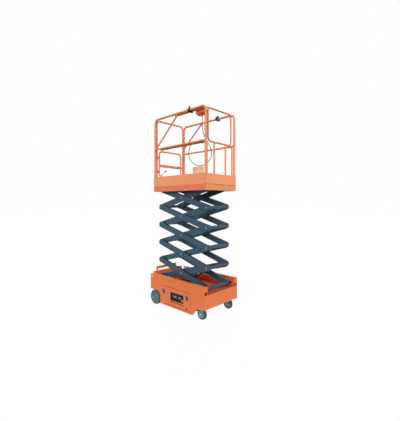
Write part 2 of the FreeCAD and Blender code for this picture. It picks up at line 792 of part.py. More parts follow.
# Toe boards
toe = box(plat_x0 - toe_t, plat_x1 - 8, beam_out, plat_half, seam_z, toe_top_z)
toe = toe.fuse(box(plat_x0 - toe_t, plat_x1, plat_half - toe_lip, plat_half, toe_top_z - 3, toe_top_z))
rear_toe = box(plat_x0 - toe_t, plat_x0, gate_half + 28, plat_half, seam_z, toe_top_z)
toe = toe.fuse(rear_toe).removeSplitter()
export(both(toe), "toe_boards")

# Guard rails of both sides and the rear rail
z = rail_z
side_run = [V(rail_rear_x, rail_y, toe_top_z), V(rail_rear_x, rail_y, z), V(rail_front_x, rail_y, z)]
side_run += [V(rail_front_x, rail_y, toe_top_z)]
mid_run = [V(rail_rear_x, rail_y, mid_rail_z), V(rail_front_x, rail_y, mid_rail_z)]
rear_y = rail_y - rail_r - rear_rail_r - seat_gap
rear_run = [V(rail_rear_x, -rear_y, deck_top_z), V(rail_rear_x, -rear_y, z), V(rail_rear_x, rear_y, z)]
rear_run += [V(rail_rear_x, rear_y, deck_top_z)]
runs = [(side_run, rail_bend, rail_r, False)]
runs.append((mid_run, rail_bend, mid_rail_r, False))


def brace_run(place):
    """A diagonal from (foot station, top station, foot height over the mid rail) on one side."""
    foot, top, lift = place
    return [V(plat_x0 + foot, rail_y, mid_rail_z + lift), V(plat_x0 + top, rail_y, rail_z)]


left_rails = welded(runs + [(brace_run(brace_left), rail_bend, brace_r, False)])
right_rails = welded(runs + [(brace_run(brace_right), rail_bend, brace_r, False)])
export(Part.makeCompound([left_rails, mirror_y(right_rails)]), "guard_rails")
export(welded([(rear_run, rail_bend, rear_rail_r, False)]), "rear_rails")

# Rail clamps on the top rails
clamp = box(clamp_x - 16, clamp_x + 16, ext_rail_y - 20, rail_y + 24, ext_top_z - 20, rail_z + 22)
clamp = clamp.cut(rod_x(rail_y, rail_z, rail_r + clamp_clear, clamp_x - 20, clamp_x + 20))
clamp = clamp.cut(rod_x(ext_rail_y, ext_top_z, ext_rail_r + 1.0, clamp_x - 20, clamp_x + 20))
knob = rod_z(clamp_x - 4, rail_y, 6, rail_z + 20, rail_z + 36)
knob = knob.fuse(rod_z(clamp_x - 4, rail_y, 13, rail_z + 36, rail_z + 52))
clamp = clamp.fuse(knob).removeSplitter()
export(both(clamp), "rail_clamps")

# Deck extension: sliding floor with its toe boards, and its rails
ext_half_w = ext_rail_y + 24.0
ext_x0 = plat_x1 - ext_travel - ext_overlap
ext_low = deck_top_z + ext_floor_lift
ex = [box(ext_x0, front_in, -ext_half_w, ext_half_w, ext_low, ext_low + 4)]
for side in (-1, 1):
    y = side * ext_half_w
    ex += [box(ext_x0, front_in, y, y + side * 3, ext_low, ext_toe_top_z - 4)]
    ex += [box(ext_x0, front_in, y - side * 36, y - side * 6, deck_top_z + seat_gap, ext_low)]
ex += [box(front_in, plat_x1, -plat_half, plat_half, seam_z + 5, ext_toe_top_z)]
ex += [box(ext_plane_x - 20, front_in, -ext_half_w + 8, ext_half_w - 8, ext_toe_top_z - 3, ext_toe_top_z)]
export(fuse(ex), "extension_deck")
loop = [V(ext_plane_x, -ext_half, ext_low_z), V(ext_plane_x, ext_half, ext_low_z)]
loop += [V(ext_plane_x, ext_half, ext_top_z), V(ext_plane_x, -ext_half, ext_top_z)]
low_side = [V(ext_plane_x, ext_rail_y, ext_toe_top_z), V(ext_plane_x, ext_rail_y, ext_mid_z)]
low_side += [V(ext_mid_back_x, ext_rail_y, ext_mid_z)]
top_side = [V(ext_top_back_x, ext_rail_y, ext_top_z), V(ext_plane_x, ext_rail_y, ext_top_z)]
top_side += [V(ext_plane_x, ext_half - 110, ext_top_z)]
runs = [(loop, ext_bend, ext_rail_r, True)]
for pts in (low_side, flip(low_side), top_side, flip(top_side)):
    runs.append((pts, ext_side_bend, ext_rail_r, False))
for y in (-ext_bar_y, ext_bar_y):
    bar = [V(ext_plane_x, y, ext_toe_top_z), V(ext_plane_x, y, ext_low_z)]
    runs.append((bar, ext_side_bend, ext_rail_r, False))
clip_x = cable_points[-1][0]
clip_y0 = -ext_rail_y - ext_rail_r - clip_wall
clip_y1 = cable_points[-1][1] + 2 * cable_r
clip = box(clip_x, clip_x + clip_length, clip_y0, clip_y1, ext_mid_z - clip_under, ext_mid_z + clip_over)
export(welded(runs).fuse(clip).removeSplitter(), "extension_rails")

# Platform control box, a wedge on the extension's right top rail with its panel sloping inwards
box_y0 = -(ext_rail_y - ext_rail_r)
box_y1 = box_y0 + control_depth
box_x1 = plat_x1 - control_front
box_x0 = box_x1 - control_length
box_top = ext_top_z + control_over
line = [(box_y0, box_top), (box_y0, box_top - control_outer_drop)]
line += [(box_y0 + 14, box_top - control_outer_drop - 16)]
line += [(box_y1 - 14, box_top - control_inner_drop), (box_y1, box_top - control_inner_drop + 12)]
line += [(box_y1, box_top - control_face_drop), (box_y0 + 40, box_top)]
wedge = Part.makePolygon([V(box_x0, y, z) for y, z in line + [line[0]]])
wedge = Part.Face(wedge).extrude(V(control_length, 0, 0))
gland_z = box_top - gland_low
gland = rod_z(box_x0 + gland_back, box_y0 + gland_side, gland_r, gland_z, box_top - control_outer_drop)
export(wedge.fuse(gland).removeSplitter(), "platform_control_box")


def cable(points, r):
    """A round cable: straight runs joined by tangent arcs."""
    pts = [V(*point) for point in points]
    edges = []
    start = pts[0]
    for k in range(1, len(pts) - 1):
        before = (pts[k] - pts[k - 1]).normalize()
        after = (pts[k + 1] - pts[k]).normalize()
        back = 0.45 * min((pts[k] - pts[k - 1]).Length, (pts[k + 1] - pts[k]).Length)
        half_turn = before.getAngle(after) / 2.0
        radius = back / math.tan(half_turn)
        print("cable bend %d: radius %.1f, turn %.0f" % (k, radius, math.degrees(2 * half_turn)))
        arc_start = pts[k] - before * back
        arc_end = pts[k] + after * back
        bisector = (after - before).normalize()
        centre = pts[k] + bisector * (radius / math.cos(half_turn))
        arc_middle = centre - bisector * radius
        edges.append(Part.makeLine(start, arc_start))
        edges.append(Part.Arc(arc_start, arc_middle, arc_end).toShape())
        start = arc_end
    edges.append(Part.makeLine(start, pts[-1]))
    path = Part.Wire(edges)
    section = Part.Wire([Part.makeCircle(r, pts[0], (pts[1] - pts[0]).normalize())])
    solid = path.makePipeShell([section], True, False)
    ideal = math.pi * r * r * path.Length
    print("cable length %.1f, volume over section times length %.4f" % (path.Length, solid.Volume / ideal))
    return solid


export(cable(cable_points, cable_r), "control_cable")

# Document box
doc_z0 = toe_top_z + seat_gap
doc_y1 = beam_out
doc = box(plat_x0 + doc_x0, plat_x0 + doc_x1, doc_y1 - doc_depth, doc_y1, doc_z0, doc_z0 + doc_height)
export(doc, "document_box")

# Rear gate
gx = gate_plane_x
gh = gate_half
gate_low_z = deck_top_z + gate_low_height
gate_top_z = deck_top_z + gate_top_height
gate_bar_z = deck_top_z + gate_bar_height
gate_hinges_z = [deck_top_z + height for height in gate_hinge_heights]
ring = [V(gx, -gh, gate_low_z), V(gx, gh, gate_low_z), V(gx, gh, gate_top_z), V(gx, -gh, gate_top_z)]
bar_drop = gate_bar_depth / 2.0
bar_half = gate_bar_t / 2.0
bar = box(gx - bar_half, gx + bar_half, -gh, gh, gate_bar_z - bar_drop, gate_bar_z + bar_drop)
gate = welded([(ring, gate_bend, gate_r, True)])
gate = gate.fuse(bar)
kick_top = gate_low_z - gate_r - 5.0
kick = [box(gx - 4, gx, -gh - gate_r, gh + gate_r, deck_top_z + 12, kick_top)]
for y in (-150.0, 0.0, 150.0):
    kick.append(box(gx - 4, gx, y - 15, y + 15, kick_top, gate_low_z))
hinge_line = -gh - gate_hinge_gap
hinges = []
for z in gate_hinges_z:
    arm = box(gx - 5, gx + 5, hinge_line, -gh, z - 12, z + 12)
    hinges.append(arm.fuse(rod_z(gx, hinge_line, gate_hinge_r, z - 20, z + 20)))
gate = fuse([gate] + kick + hinges)
gate = cut(gate, [rod_z(gx, hinge_line, gate_pin_r + pin_clear, z - 30, z + 30) for z in gate_hinges_z])
export(gate, "rear_gate")
brackets = []
for z in gate_hinges_z:
    pin = rod_z(gx, hinge_line, gate_pin_r, z - 34, z + 34)
    cup = rod_z(gx, hinge_line, gate_hinge_r, z - 34, z - 21)
    ear = box(gx - 5, gx + 5, -rear_y, hinge_line, z - 34, z - 21)
    post = rod_z(rail_rear_x, -rear_y, rear_rail_r + clamp_clear, z - 50, z + 50)
    brackets.append(fuse([pin, cup, ear]).cut(post))
export(Part.makeCompound(brackets), "gate_hinges")
latch = box(gx - 14, gx + 14, gh + gate_r + 4, rear_y, gate_bar_z - 14, gate_bar_z + 14)
latch = latch.cut(rod_z(rail_rear_x, rear_y, rear_rail_r + clamp_clear, gate_bar_z - 30, gate_bar_z + 30))
export(latch, "gate_latch")
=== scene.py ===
import json
import math

import bmesh
import bpy
from bpy.props import FloatProperty, FloatVectorProperty, IntProperty, PointerProperty
from bpy.types import Operator, Panel, PropertyGroup
from mathutils import Matrix, Vector


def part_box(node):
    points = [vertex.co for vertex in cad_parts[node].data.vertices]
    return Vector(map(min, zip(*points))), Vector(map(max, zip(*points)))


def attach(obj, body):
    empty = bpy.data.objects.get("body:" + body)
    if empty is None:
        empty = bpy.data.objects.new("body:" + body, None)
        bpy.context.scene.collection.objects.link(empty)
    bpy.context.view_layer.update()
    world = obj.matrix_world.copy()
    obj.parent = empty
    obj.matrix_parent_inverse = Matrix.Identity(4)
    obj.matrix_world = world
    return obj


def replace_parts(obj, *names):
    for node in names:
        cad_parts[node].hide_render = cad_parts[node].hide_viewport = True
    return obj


bl_info = {
    "name": "Scissor lift dressing",
    "version": (1, 0, 0),
    "blender": (4, 5, 0),
    "location": "3D View > Sidebar > Lift",
    "description": "Finishes, wheels, controls, cable, pins and fixings of a small scissor lift",
    "category": "Object",
}

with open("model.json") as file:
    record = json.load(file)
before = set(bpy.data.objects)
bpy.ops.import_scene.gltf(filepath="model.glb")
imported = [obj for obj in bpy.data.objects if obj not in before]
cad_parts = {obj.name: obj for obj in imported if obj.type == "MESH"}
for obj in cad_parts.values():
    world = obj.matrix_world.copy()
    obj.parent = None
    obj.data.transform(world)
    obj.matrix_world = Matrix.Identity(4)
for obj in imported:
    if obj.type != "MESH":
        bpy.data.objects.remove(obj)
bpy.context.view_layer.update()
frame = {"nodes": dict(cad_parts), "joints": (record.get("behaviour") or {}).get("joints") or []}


# Places, in metres, read from the frame or shared by several pieces

def joint_place(name):
    for joint in frame["joints"]:
        if joint["name"] == name:
            return Vector(joint.get("pos_m", (0.0, 0.0, 0.0)))
    raise ValueError("no joint named " + name)


def middle(node):
    low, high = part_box(node)
    return (low + high) / 2.0


def half_size(node):
    """Half the node's length, width and height."""
    return [(top - bottom) / 2.0 for bottom, top in zip(*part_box(node))]


STAGES = 5
REAR_X = joint_place("stage_1_rear").x
MIDDLE_X = joint_place("stage_1_cross").x
FRONT_X = 2.0 * MIDDLE_X - REAR_X
STAGE_RISE = joint_place("stage_2_cross").z - joint_place("stage_1_cross").z
LOW_Z = joint_place("lift").z
TOP_Z = LOW_Z + STAGES * STAGE_RISE
ARM_INSIDE_Y = 0.172    # inside faces of the inner arms
RAIL_Z = 2.560          # middle rails of the platform
RAIL_RADIUS = 0.017
SIDES = (("left", 1.0), ("right", -1.0))
ALONG, ACROSS, UP = (1, 0, 0), (0, 1, 0), (0, 0, 1)

# Control points of the control cable, from the control box to the clip on the right middle rail
CABLE_ROUTE = ((0.4360, -0.2360, 2.9550), (0.4360, -0.2360, 2.8500), (0.4450, -0.2380, 2.7350),
               (0.4520, -0.2000, 2.6350), (0.4688, -0.1258, 2.5478), (0.5205, -0.1017, 2.4100),
               (0.4688, -0.1258, 2.2722), (0.3440, -0.1840, 2.2152), (0.2192, -0.2422, 2.2722),
               (0.1675, -0.2640, 2.4100), (0.2100, -0.2620, 2.5400), (0.3000, -0.2655, 2.5720),
               (0.3850, -0.2660, 2.5770), (0.4520, -0.2660, 2.5770))


# Sizes and colours that a user would change

def srgb(red, green, blue):
    """Linear colour from 8-bit screen values."""
    values = []
    for part in (red, green, blue):
        c = part / 255.0
        values.append(c / 12.92 if c <= 0.04045 else ((c + 0.055) / 1.055) ** 2.4)
    return tuple(values)


def shade(colour, factor, lift=0.0):
    """The colour made darker or paler, with an even part added."""
    return tuple(min(1.0, part * factor + lift) for part in colour)


def colour_property(name, description, default):
    return FloatVectorProperty(name=name, description=description, subtype="COLOR", size=3, min=0.0,
                               max=1.0, default=default)


def length_property(name, description, default):
    return FloatProperty(name=name, description=description, subtype="DISTANCE", unit="LENGTH", min=0.0,
                         default=default)


def level_property(name, description, default):
    return FloatProperty(name=name, description=description, min=0.0, default=default)


class LiftColours(PropertyGroup):
    base_orange: colour_property("Base orange", "Paint of the wheeled base", srgb(230, 116, 58))
    # A deeper, redder copy of the base orange for the parts inside the base and under the platform: painted
    # shade
    inner_shaded_orange: colour_property("Inner orange", "Deeper orange inside the base", srgb(222, 92, 56))
    platform_orange: colour_property("Platform orange", "Paint of the toe boards", srgb(240, 154, 104))
    skirt_orange: colour_property("Skirt orange", "Paint of the platform's beams", srgb(232, 118, 86))
    rail_orange: colour_property("Rail orange", "Paint of the guard rails", srgb(226, 134, 88))
    arm_slate: colour_property("Arm slate", "Slate paint of the scissor arms", srgb(54, 80, 97))
    drive_tyre: colour_property("Drive tyre", "Grey rubber of the drive tyres", srgb(82, 98, 104))
    castor_tyre: colour_property("Castor tyre", "Dark rubber of the castor tyres", srgb(48, 54, 60))
    wheel_disc: colour_property("Wheel disc", "Painted wheel discs", srgb(84, 108, 114))
    castor_disc: colour_property("Castor disc", "Light discs of the castors", srgb(112, 144, 166))
    document_box: colour_property("Document box", "Pale plastic of the document box", srgb(240, 198, 168))
    stop_red: colour_property("Stop red", "Plastic of the stop buttons", srgb(205, 48, 42))
    floor: colour_property("Studio floor", "Floor and backdrop", (0.30, 0.30, 0.30))


class LiftSizes(PropertyGroup):
    lens: FloatProperty(name="Lens", description="Focal length for a 36 mm frame", default=24.88, min=10.0)
    eye_height: length_property("Eye height", "Height of the camera over the floor", 1.6852)
    eye_out: length_property("Eye distance along X", "Camera's X", 3.3504)
    eye_side: length_property("Eye distance along -Y", "Camera's distance to the right", 3.3456)
    eye_turn: FloatProperty(name="Eye azimuth", description="Camera's turn about Z", subtype="ANGLE",
                            default=math.radians(43.58))
    key_level: level_property("Key lamp", "Strength of the lamp on the right side", 1.85)
    front_level: level_property("Front lamp", "Strength of the lamp on the front", 1.68)
    back_level: level_property("Back lamp", "Strength of the lamp behind", 0.50)
    sky_level: level_property("Sky", "Strength of the even light all round", 0.28)
    floor_glow: level_property("Floor glow", "Brightness of the floor as the camera sees it", 1.26)
    lathe_steps: IntProperty(name="Lathe steps", description="Segments of turned pieces", default=96, min=24)
    keeper_width: length_property("Pin plate width", "Width of the plates over the arm pins", 0.0150)
    keeper_length: length_property("Pin plate length", "Length of the plates over the arm pins", 0.0400)
    nut_width: length_property("Pin bolt", "Radius of the bolt heads on the end pins", 0.0085)
    nut_height: length_property("Pin bolt height", "Height of the bolt heads on the end pins", 0.0030)
    screw_width: length_property("Screw head", "Radius of the panel screws", 0.0065)
    screw_height: length_property("Screw head height", "Height of the panel screws", 0.0028)
    bead_width: length_property("Weld bead", "Radius of a weld bead", 0.0026)
    cable_width: length_property("Cable diameter", "Diameter of the control cable", 0.010)


# Node helpers

class NodeTree:
    """Short calls for building a node tree."""

    def __init__(self, tree):
        self.tree = tree

    def add(self, kind, inputs=None, **settings):
        """A new node with its settings, and its inputs by name or number."""
        node = self.tree.nodes.new(kind)
        for key, value in settings.items():
            setattr(node, key, value)
        for key, value in (inputs or {}).items():
            self.feed(value, node.inputs[key])
        return node

    def feed(self, value, slot):
        """Links an input to another node's output, or sets it to a number, word, vector or colour."""
        if isinstance(value, bpy.types.NodeSocket):
            self.tree.links.new(value, slot)
        elif slot.type == "RGBA":
            slot.default_value = (*value, 1.0)
        else:
            slot.default_value = value

    def math(self, operation, first, second):
        return self.add("ShaderNodeMath", {0: first, 1: second}, operation=operation).outputs["Value"]


class Shader(NodeTree):
    """A material's node tree with the few nodes that the finishes use."""

    def __init__(self, name):
        self.material = bpy.data.materials.new(name)
        self.material.use_nodes = True
        super().__init__(self.material.node_tree)
        self.tree.nodes.clear()
        self.surface = self.add("ShaderNodeBsdfPrincipled")
        self.output = self.add("ShaderNodeOutputMaterial", {"Surface": self.surface.outputs["BSDF"]})
        coordinates = self.add("ShaderNodeTexCoord")
        self.place = coordinates.outputs["Object"]
        self.facing = coordinates.outputs["Normal"]

    def noise(self, scale, detail=2.0, vector=None):
        node = self.add("ShaderNodeTexNoise",
                        {"Scale": scale, "Detail": detail, "Vector": vector or self.place})
        return node.outputs["Fac"]

    def band(self, value, low, high, to_low=0.0, to_high=1.0):
        node = self.add("ShaderNodeMapRange", {"Value": value, "From Min": low, "From Max": high,
                                               "To Min": to_low, "To Max": to_high})
        return node.outputs["Result"]

    def blend(self, factor, first, second):
        node = self.add("ShaderNodeMix", {"Factor": factor, "A": first, "B": second}, data_type="RGBA")
        return node.outputs["Result"]

    def axis(self, letter, vector=None):
        """One part of the place, or of another vector."""
        return self.add("ShaderNodeSeparateXYZ", {"Vector": vector or self.place}).outputs[letter]

    def bump(self, height, strength, distance, under=None):
        node = self.add("ShaderNodeBump", {"Strength": strength, "Distance": distance, "Height": height})
        if under is not None:
            self.feed(under, node.inputs["Normal"])
        return node.outputs["Normal"]

    def soft_edge(self, radius):
        return self.add("ShaderNodeBevel", {"Radius": radius}, samples=4).outputs["Normal"]

    def finish(self, colour, normal, roughness, metallic=0.0, coat=0.0, gloss=0.5):
        values = {"Base Color": colour, "Roughness": roughness, "Metallic": metallic, "Coat Weight": coat,
                  "Coat Roughness": 0.25, "Specular IOR Level": gloss}
        if normal is not None:
            values["Normal"] = normal
        for key, value in values.items():
            self.feed(value, self.surface.inputs[key])
        return self.material


# Finishes

DUST = (0.36, 0.29, 0.22)
TYRE_DUST = (0.34, 0.31, 0.27)


def painted_steel(name, colour, dust=0.0, roughness=0.42, edge=0.0022, front=None, gloss=0.35, rub=0.55,
                  painted_upper_shade=0.0):
    """Sprayed paint: slow drift, rubbed lighter edges, painted shade on upper faces, smudged gloss and low
    dust.
    """
    s = Shader(name)
    drift = s.band(s.noise(2.2, 3.0), 0.3, 0.7)
    paint = s.blend(drift, shade(colour, 0.94), shade(colour, 1.05))
    if front is not None:
        paint = s.blend(s.band(s.axis("X"), 0.600, 0.603), paint, front)
    soft = s.soft_edge(edge)
    flat = s.add("ShaderNodeNewGeometry").outputs["Normal"]
    turned = s.add("ShaderNodeVectorMath", {0: soft, 1: flat}, operation="DOT_PRODUCT")
    corner = s.band(turned.outputs["Value"], 0.985, 0.86)
    patchy = s.band(s.noise(38.0, 4.0), 0.42, 0.62)
    rubbed = s.math("MULTIPLY", s.math("MULTIPLY", corner, patchy), rub)
    paint = s.blend(rubbed, paint, shade(colour, 0.62, 0.20))
    if painted_upper_shade:
        # Painted shade: faces pointing up in the part's own frame are darkened toward 0.12 of the colour
        upper = s.band(s.axis("Z", s.facing), 0.70, 0.90, 0.0, painted_upper_shade)
        paint = s.blend(upper, paint, shade(colour, 0.12))
    if dust:
        low = s.band(s.axis("Z"), 0.42, 0.05)
        specks = s.band(s.noise(14.0, 5.0), 0.38, 0.72)
        paint = s.blend(s.math("MULTIPLY", s.math("MULTIPLY", low, specks), dust), paint, DUST)
    smudges = s.band(s.noise(5.5, 4.0), 0.35, 0.7, roughness - 0.06, roughness + 0.10)
    return s.finish(paint, soft, smudges, coat=0.05, gloss=gloss)


def tube_paint(name, colour):
    """Sprayed paint on round tube: slow drift, pale scuffs and smudged gloss."""
    s = Shader(name)
    drift = s.band(s.noise(3.0, 3.0), 0.3, 0.7)
    paint = s.blend(drift, shade(colour, 0.93), shade(colour, 1.06))
    scuffs = s.band(s.noise(6.0, 3.0), 0.58, 0.80, 0.0, 0.16)
    paint = s.blend(scuffs, paint, shade(colour, 0.6, 0.16))
    smudges = s.band(s.noise(5.0, 3.0), 0.35, 0.7, 0.40, 0.52)
    return s.finish(paint, None, smudges, gloss=0.35)


def moulded_plastic(name, colour, roughness=0.5, grain=700.0, shine=0.4):
    """Fine-grained moulded plastic with slow wear in its gloss."""
    s = Shader(name)
    tint = s.blend(s.band(s.noise(6.0, 3.0), 0.3, 0.7), shade(colour, 0.9), shade(colour, 1.12))
    gloss = s.band(s.noise(9.0, 3.0), 0.3, 0.7, roughness - 0.06, roughness + 0.08)
    tint = s.blend(s.band(s.noise(grain, 1.0), 0.35, 0.65), tint, shade(colour, 1.06))
    return s.finish(tint, s.soft_edge(0.0015), gloss, gloss=shine)


def zinc_plate(name, colour, roughness=0.32):
    """Zinc-plated steel with cloudy spangle and fine scratches."""
    s = Shader(name)
    cloud = s.blend(s.band(s.noise(55.0, 4.0), 0.3, 0.7), shade(colour, 0.78), shade(colour, 1.12))
    gloss = s.band(s.noise(80.0, 3.0), 0.3, 0.7, roughness - 0.08, roughness + 0.12)
    scratched = s.bump(s.noise(1300.0, 2.0), 0.10, 0.0003, s.soft_edge(0.0012))
    return s.finish(cloud, scratched, gloss, metallic=0.9)


def rubber(name, colour, roughness=0.72):
    """Moulded rubber with scuffed, dusty faces."""
    s = Shader(name)
    scuffed = s.band(s.noise(30.0, 6.0), 0.42, 0.68)
    tint = s.blend(scuffed, shade(colour, 0.9), shade(colour, 1.25))
    low = s.band(s.axis("Z"), 0.06, 0.0)
    tint = s.blend(s.math("MULTIPLY", low, 0.35), tint, TYRE_DUST)
    gloss = s.band(s.noise(12.0, 3.0), 0.3, 0.7, roughness - 0.08, roughness + 0.12)
    grained = s.bump(s.noise(260.0, 4.0), 0.25, 0.0006, s.soft_edge(0.002))
    return s.finish(tint, grained, gloss)


def treaded_floor(name, colour):
    """Painted deck plate with raised crossed bars, worn along their tops."""
    s = Shader(name)
    turned = s.add("ShaderNodeMapping", {"Vector": s.place, "Rotation": (0.0, 0.0, math.radians(45.0))})
    bricks = s.add("ShaderNodeTexBrick", {"Vector": turned.outputs["Vector"], "Scale": 22.0,
                                          "Mortar Size": 0.20, "Mortar Smooth": 0.6,
                                          "Brick Width": 1.0, "Row Height": 0.5})
    raised = s.math("SUBTRACT", 1.0, bricks.outputs["Fac"])
    worn = s.math("MULTIPLY", raised, s.band(s.noise(7.0, 4.0), 0.4, 0.7, 0.0, 0.5))
    tint = s.blend(worn, shade(colour, 0.9), shade(colour, 0.5, 0.22))
    return s.finish(tint, s.bump(raised, 0.6, 0.002), 0.5)


def chrome_rod(name):
    """Bright chrome with faint scratches."""
    s = Shader(name)
    tint = s.blend(s.band(s.noise(20.0, 2.0), 0.3, 0.7), (0.62, 0.63, 0.66), (0.78, 0.79, 0.82))
    drawn = s.add("ShaderNodeMapping", {"Vector": s.place, "Scale": (1.0, 1.0, 8.0)}).outputs["Vector"]
    return s.finish(tint, s.bump(s.noise(900.0, 1.0, drawn), 0.04, 0.0002), 0.12, metallic=1.0)


def lit_display(name):
    """Small display glass with rows of faint bars and no words."""
    s = Shader(name)
    wave = s.add("ShaderNodeTexWave", {"Scale": 60.0, "Vector": s.place}, bands_direction="Z")
    rows = s.band(wave.outputs["Fac"], 0.55, 0.75)
    tint = s.blend(rows, (0.22, 0.27, 0.10), (0.05, 0.07, 0.03))
    return s.finish(tint, None, 0.12, coat=0.6)


def make_finishes(c):
    return {
        "base_orange": painted_steel("Base orange paint", c.base_orange, dust=0.35),
        # Painted shade: the inner orange is a darker, redder copy of the base orange
        "inner_shaded_orange": painted_steel("Inner orange paint", c.inner_shaded_orange, dust=0.25),
        "platform_orange": painted_steel("Platform orange paint", c.platform_orange),
        "skirt_orange": painted_steel("Skirt orange paint", c.skirt_orange,
                                      front=shade(c.platform_orange, 0.86)),
        "rail_orange": tube_paint("Rail orange paint", c.rail_orange),
        # The arms get painted shade on their upper faces
        "arm_slate": painted_steel("Slate arm paint", c.arm_slate, roughness=0.46, gloss=0.25, rub=0.15,
                                   painted_upper_shade=0.85),
        "black_steel": painted_steel("Black painted steel", (0.016, 0.017, 0.020), roughness=0.4, rub=0.1),
        "wheel_disc": painted_steel("Wheel disc paint", c.wheel_disc, dust=0.2),
        "castor_disc": painted_steel("Castor disc paint", c.castor_disc, dust=0.2),
        # The pin plates take a paler copy of the arm slate, which stands for the glint on the pin heads:
        # painted highlight
        "keeper": painted_steel("Pale slate paint", srgb(134, 158, 176), edge=0.0008),
        "fork_steel": painted_steel("Castor fork paint", srgb(112, 136, 150), roughness=0.36, rub=0.3),
        "zinc": zinc_plate("Zinc-plated steel", (0.60, 0.61, 0.63)),
        "latch_grey": zinc_plate("Grey latch metal", (0.20, 0.20, 0.20), roughness=0.42),
        "chrome": chrome_rod("Chromed rod"),
        "drive_rubber": rubber("Grey drive rubber", c.drive_tyre),
        "castor_rubber": rubber("Dark castor rubber", c.castor_tyre),
        "cable_rubber": rubber("Black cable rubber", (0.012, 0.012, 0.014), roughness=0.6),
        "black_plastic": moulded_plastic("Black moulded plastic", (0.010, 0.010, 0.011), shine=0.15),
        "grey_plastic": moulded_plastic("Dark grey moulded plastic", (0.024, 0.025, 0.028), shine=0.2),
        "document": moulded_plastic("Pale document plastic", c.document_box, grain=500.0),
        "stop_red": moulded_plastic("Red button plastic", c.stop_red, roughness=0.3),
        "control_orange": moulded_plastic("Orange control plastic", srgb(236, 100, 48), roughness=0.4),
        "key_blue": moulded_plastic("Pale switch plastic", srgb(140, 146, 200), roughness=0.35),
        "yellow_ring": moulded_plastic("Yellow ring plastic", srgb(226, 190, 40), roughness=0.4),
        "plug_red": moulded_plastic("Dark red plug plastic", srgb(112, 30, 22), shine=0.2),
        "display": lit_display("Display glass"),
        "deck": treaded_floor("Treaded deck paint", c.inner_shaded_orange),
    }


# The finish of each node of the frame; a name that ends in * stands for all nodes that start so
NODE_FINISH = {
    "base_orange": ("base_walls", "side_skins", "front_panel", "rear_handle", "side_door_*"),
    "inner_shaded_orange": ("base_floor", "base_deck", "base_channels", "base_lugs", "platform_channels",
                     "platform_lugs"),
    "platform_orange": ("toe_boards", "extension_deck"),
    "skirt_orange": ("platform_frame",),
    "rail_orange": ("guard_rails", "rear_rails", "extension_rails", "rear_gate", "gate_latch"),
    "arm_slate": ("inner_arm_*", "outer_arm_*"),
    "black_steel": ("power_unit_block", "drive_motors", "cylinder_barrel"),
    "black_plastic": ("ground_panel", "battery_block", "base_rollers", "platform_rollers", "rail_clamps"),
    "zinc": ("door_hinges", "castor_heads", "gate_hinges"),
    "latch_grey": ("door_latches_*",),
    "chrome": ("cylinder_rod",),
    "drive_rubber": ("rear_tyre_*",),
    "castor_rubber": ("castor_tyre_*",),
    "cable_rubber": ("control_cable",),
    "wheel_disc": ("rear_rim_*",),
    "castor_disc": ("castor_hub_*",),
    "fork_steel": ("castor_fork_*",),
    "stop_red": ("stop_button",),
    "key_blue": ("key_switch",),
    "control_orange": ("platform_control_box",),
    "document": ("document_box",),
    "deck": ("platform_floor",),
}
finishes = {}
trees = {}


def node_finish(name):
    for finish, nodes in NODE_FINISH.items():
        for node in nodes:
            if name == node or (node.endswith("*") and name.startswith(node[:-1])):
                return finish
    raise ValueError("no finish for node " + name)


# Mesh helpers

def settle(name, mesh, finish, body, nodes=()):
    """One piece with its finish, riding on a body, in place of the frame's nodes that it stands for."""
    mesh.materials.clear()
    mesh.materials.append(finishes[finish])
    piece = bpy.data.objects.new(name, mesh)
    bpy.context.scene.collection.objects.link(piece)
    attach(piece, body)
    if nodes:
        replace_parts(piece, *nodes)


def rounded(corners, radius, steps=3):
    """Rounds each corner of a closed outline of (distance along the axis, radius)."""
    result = []
    for k, corner in enumerate(corners):
        point = Vector(corner)
        before = Vector(corners[k - 1]) - point
        after = Vector(corners[(k + 1) % len(corners)]) - point
        back = min(radius, 0.45 * before.length, 0.45 * after.length)
        start = point + before.normalized() * back
        end = point + after.normalized() * back
        for step in range(steps + 1):
            t = step / steps
            result.append(tuple(start * (1 - t) ** 2 + point * 2 * t * (1 - t) + end * t ** 2))
    return result


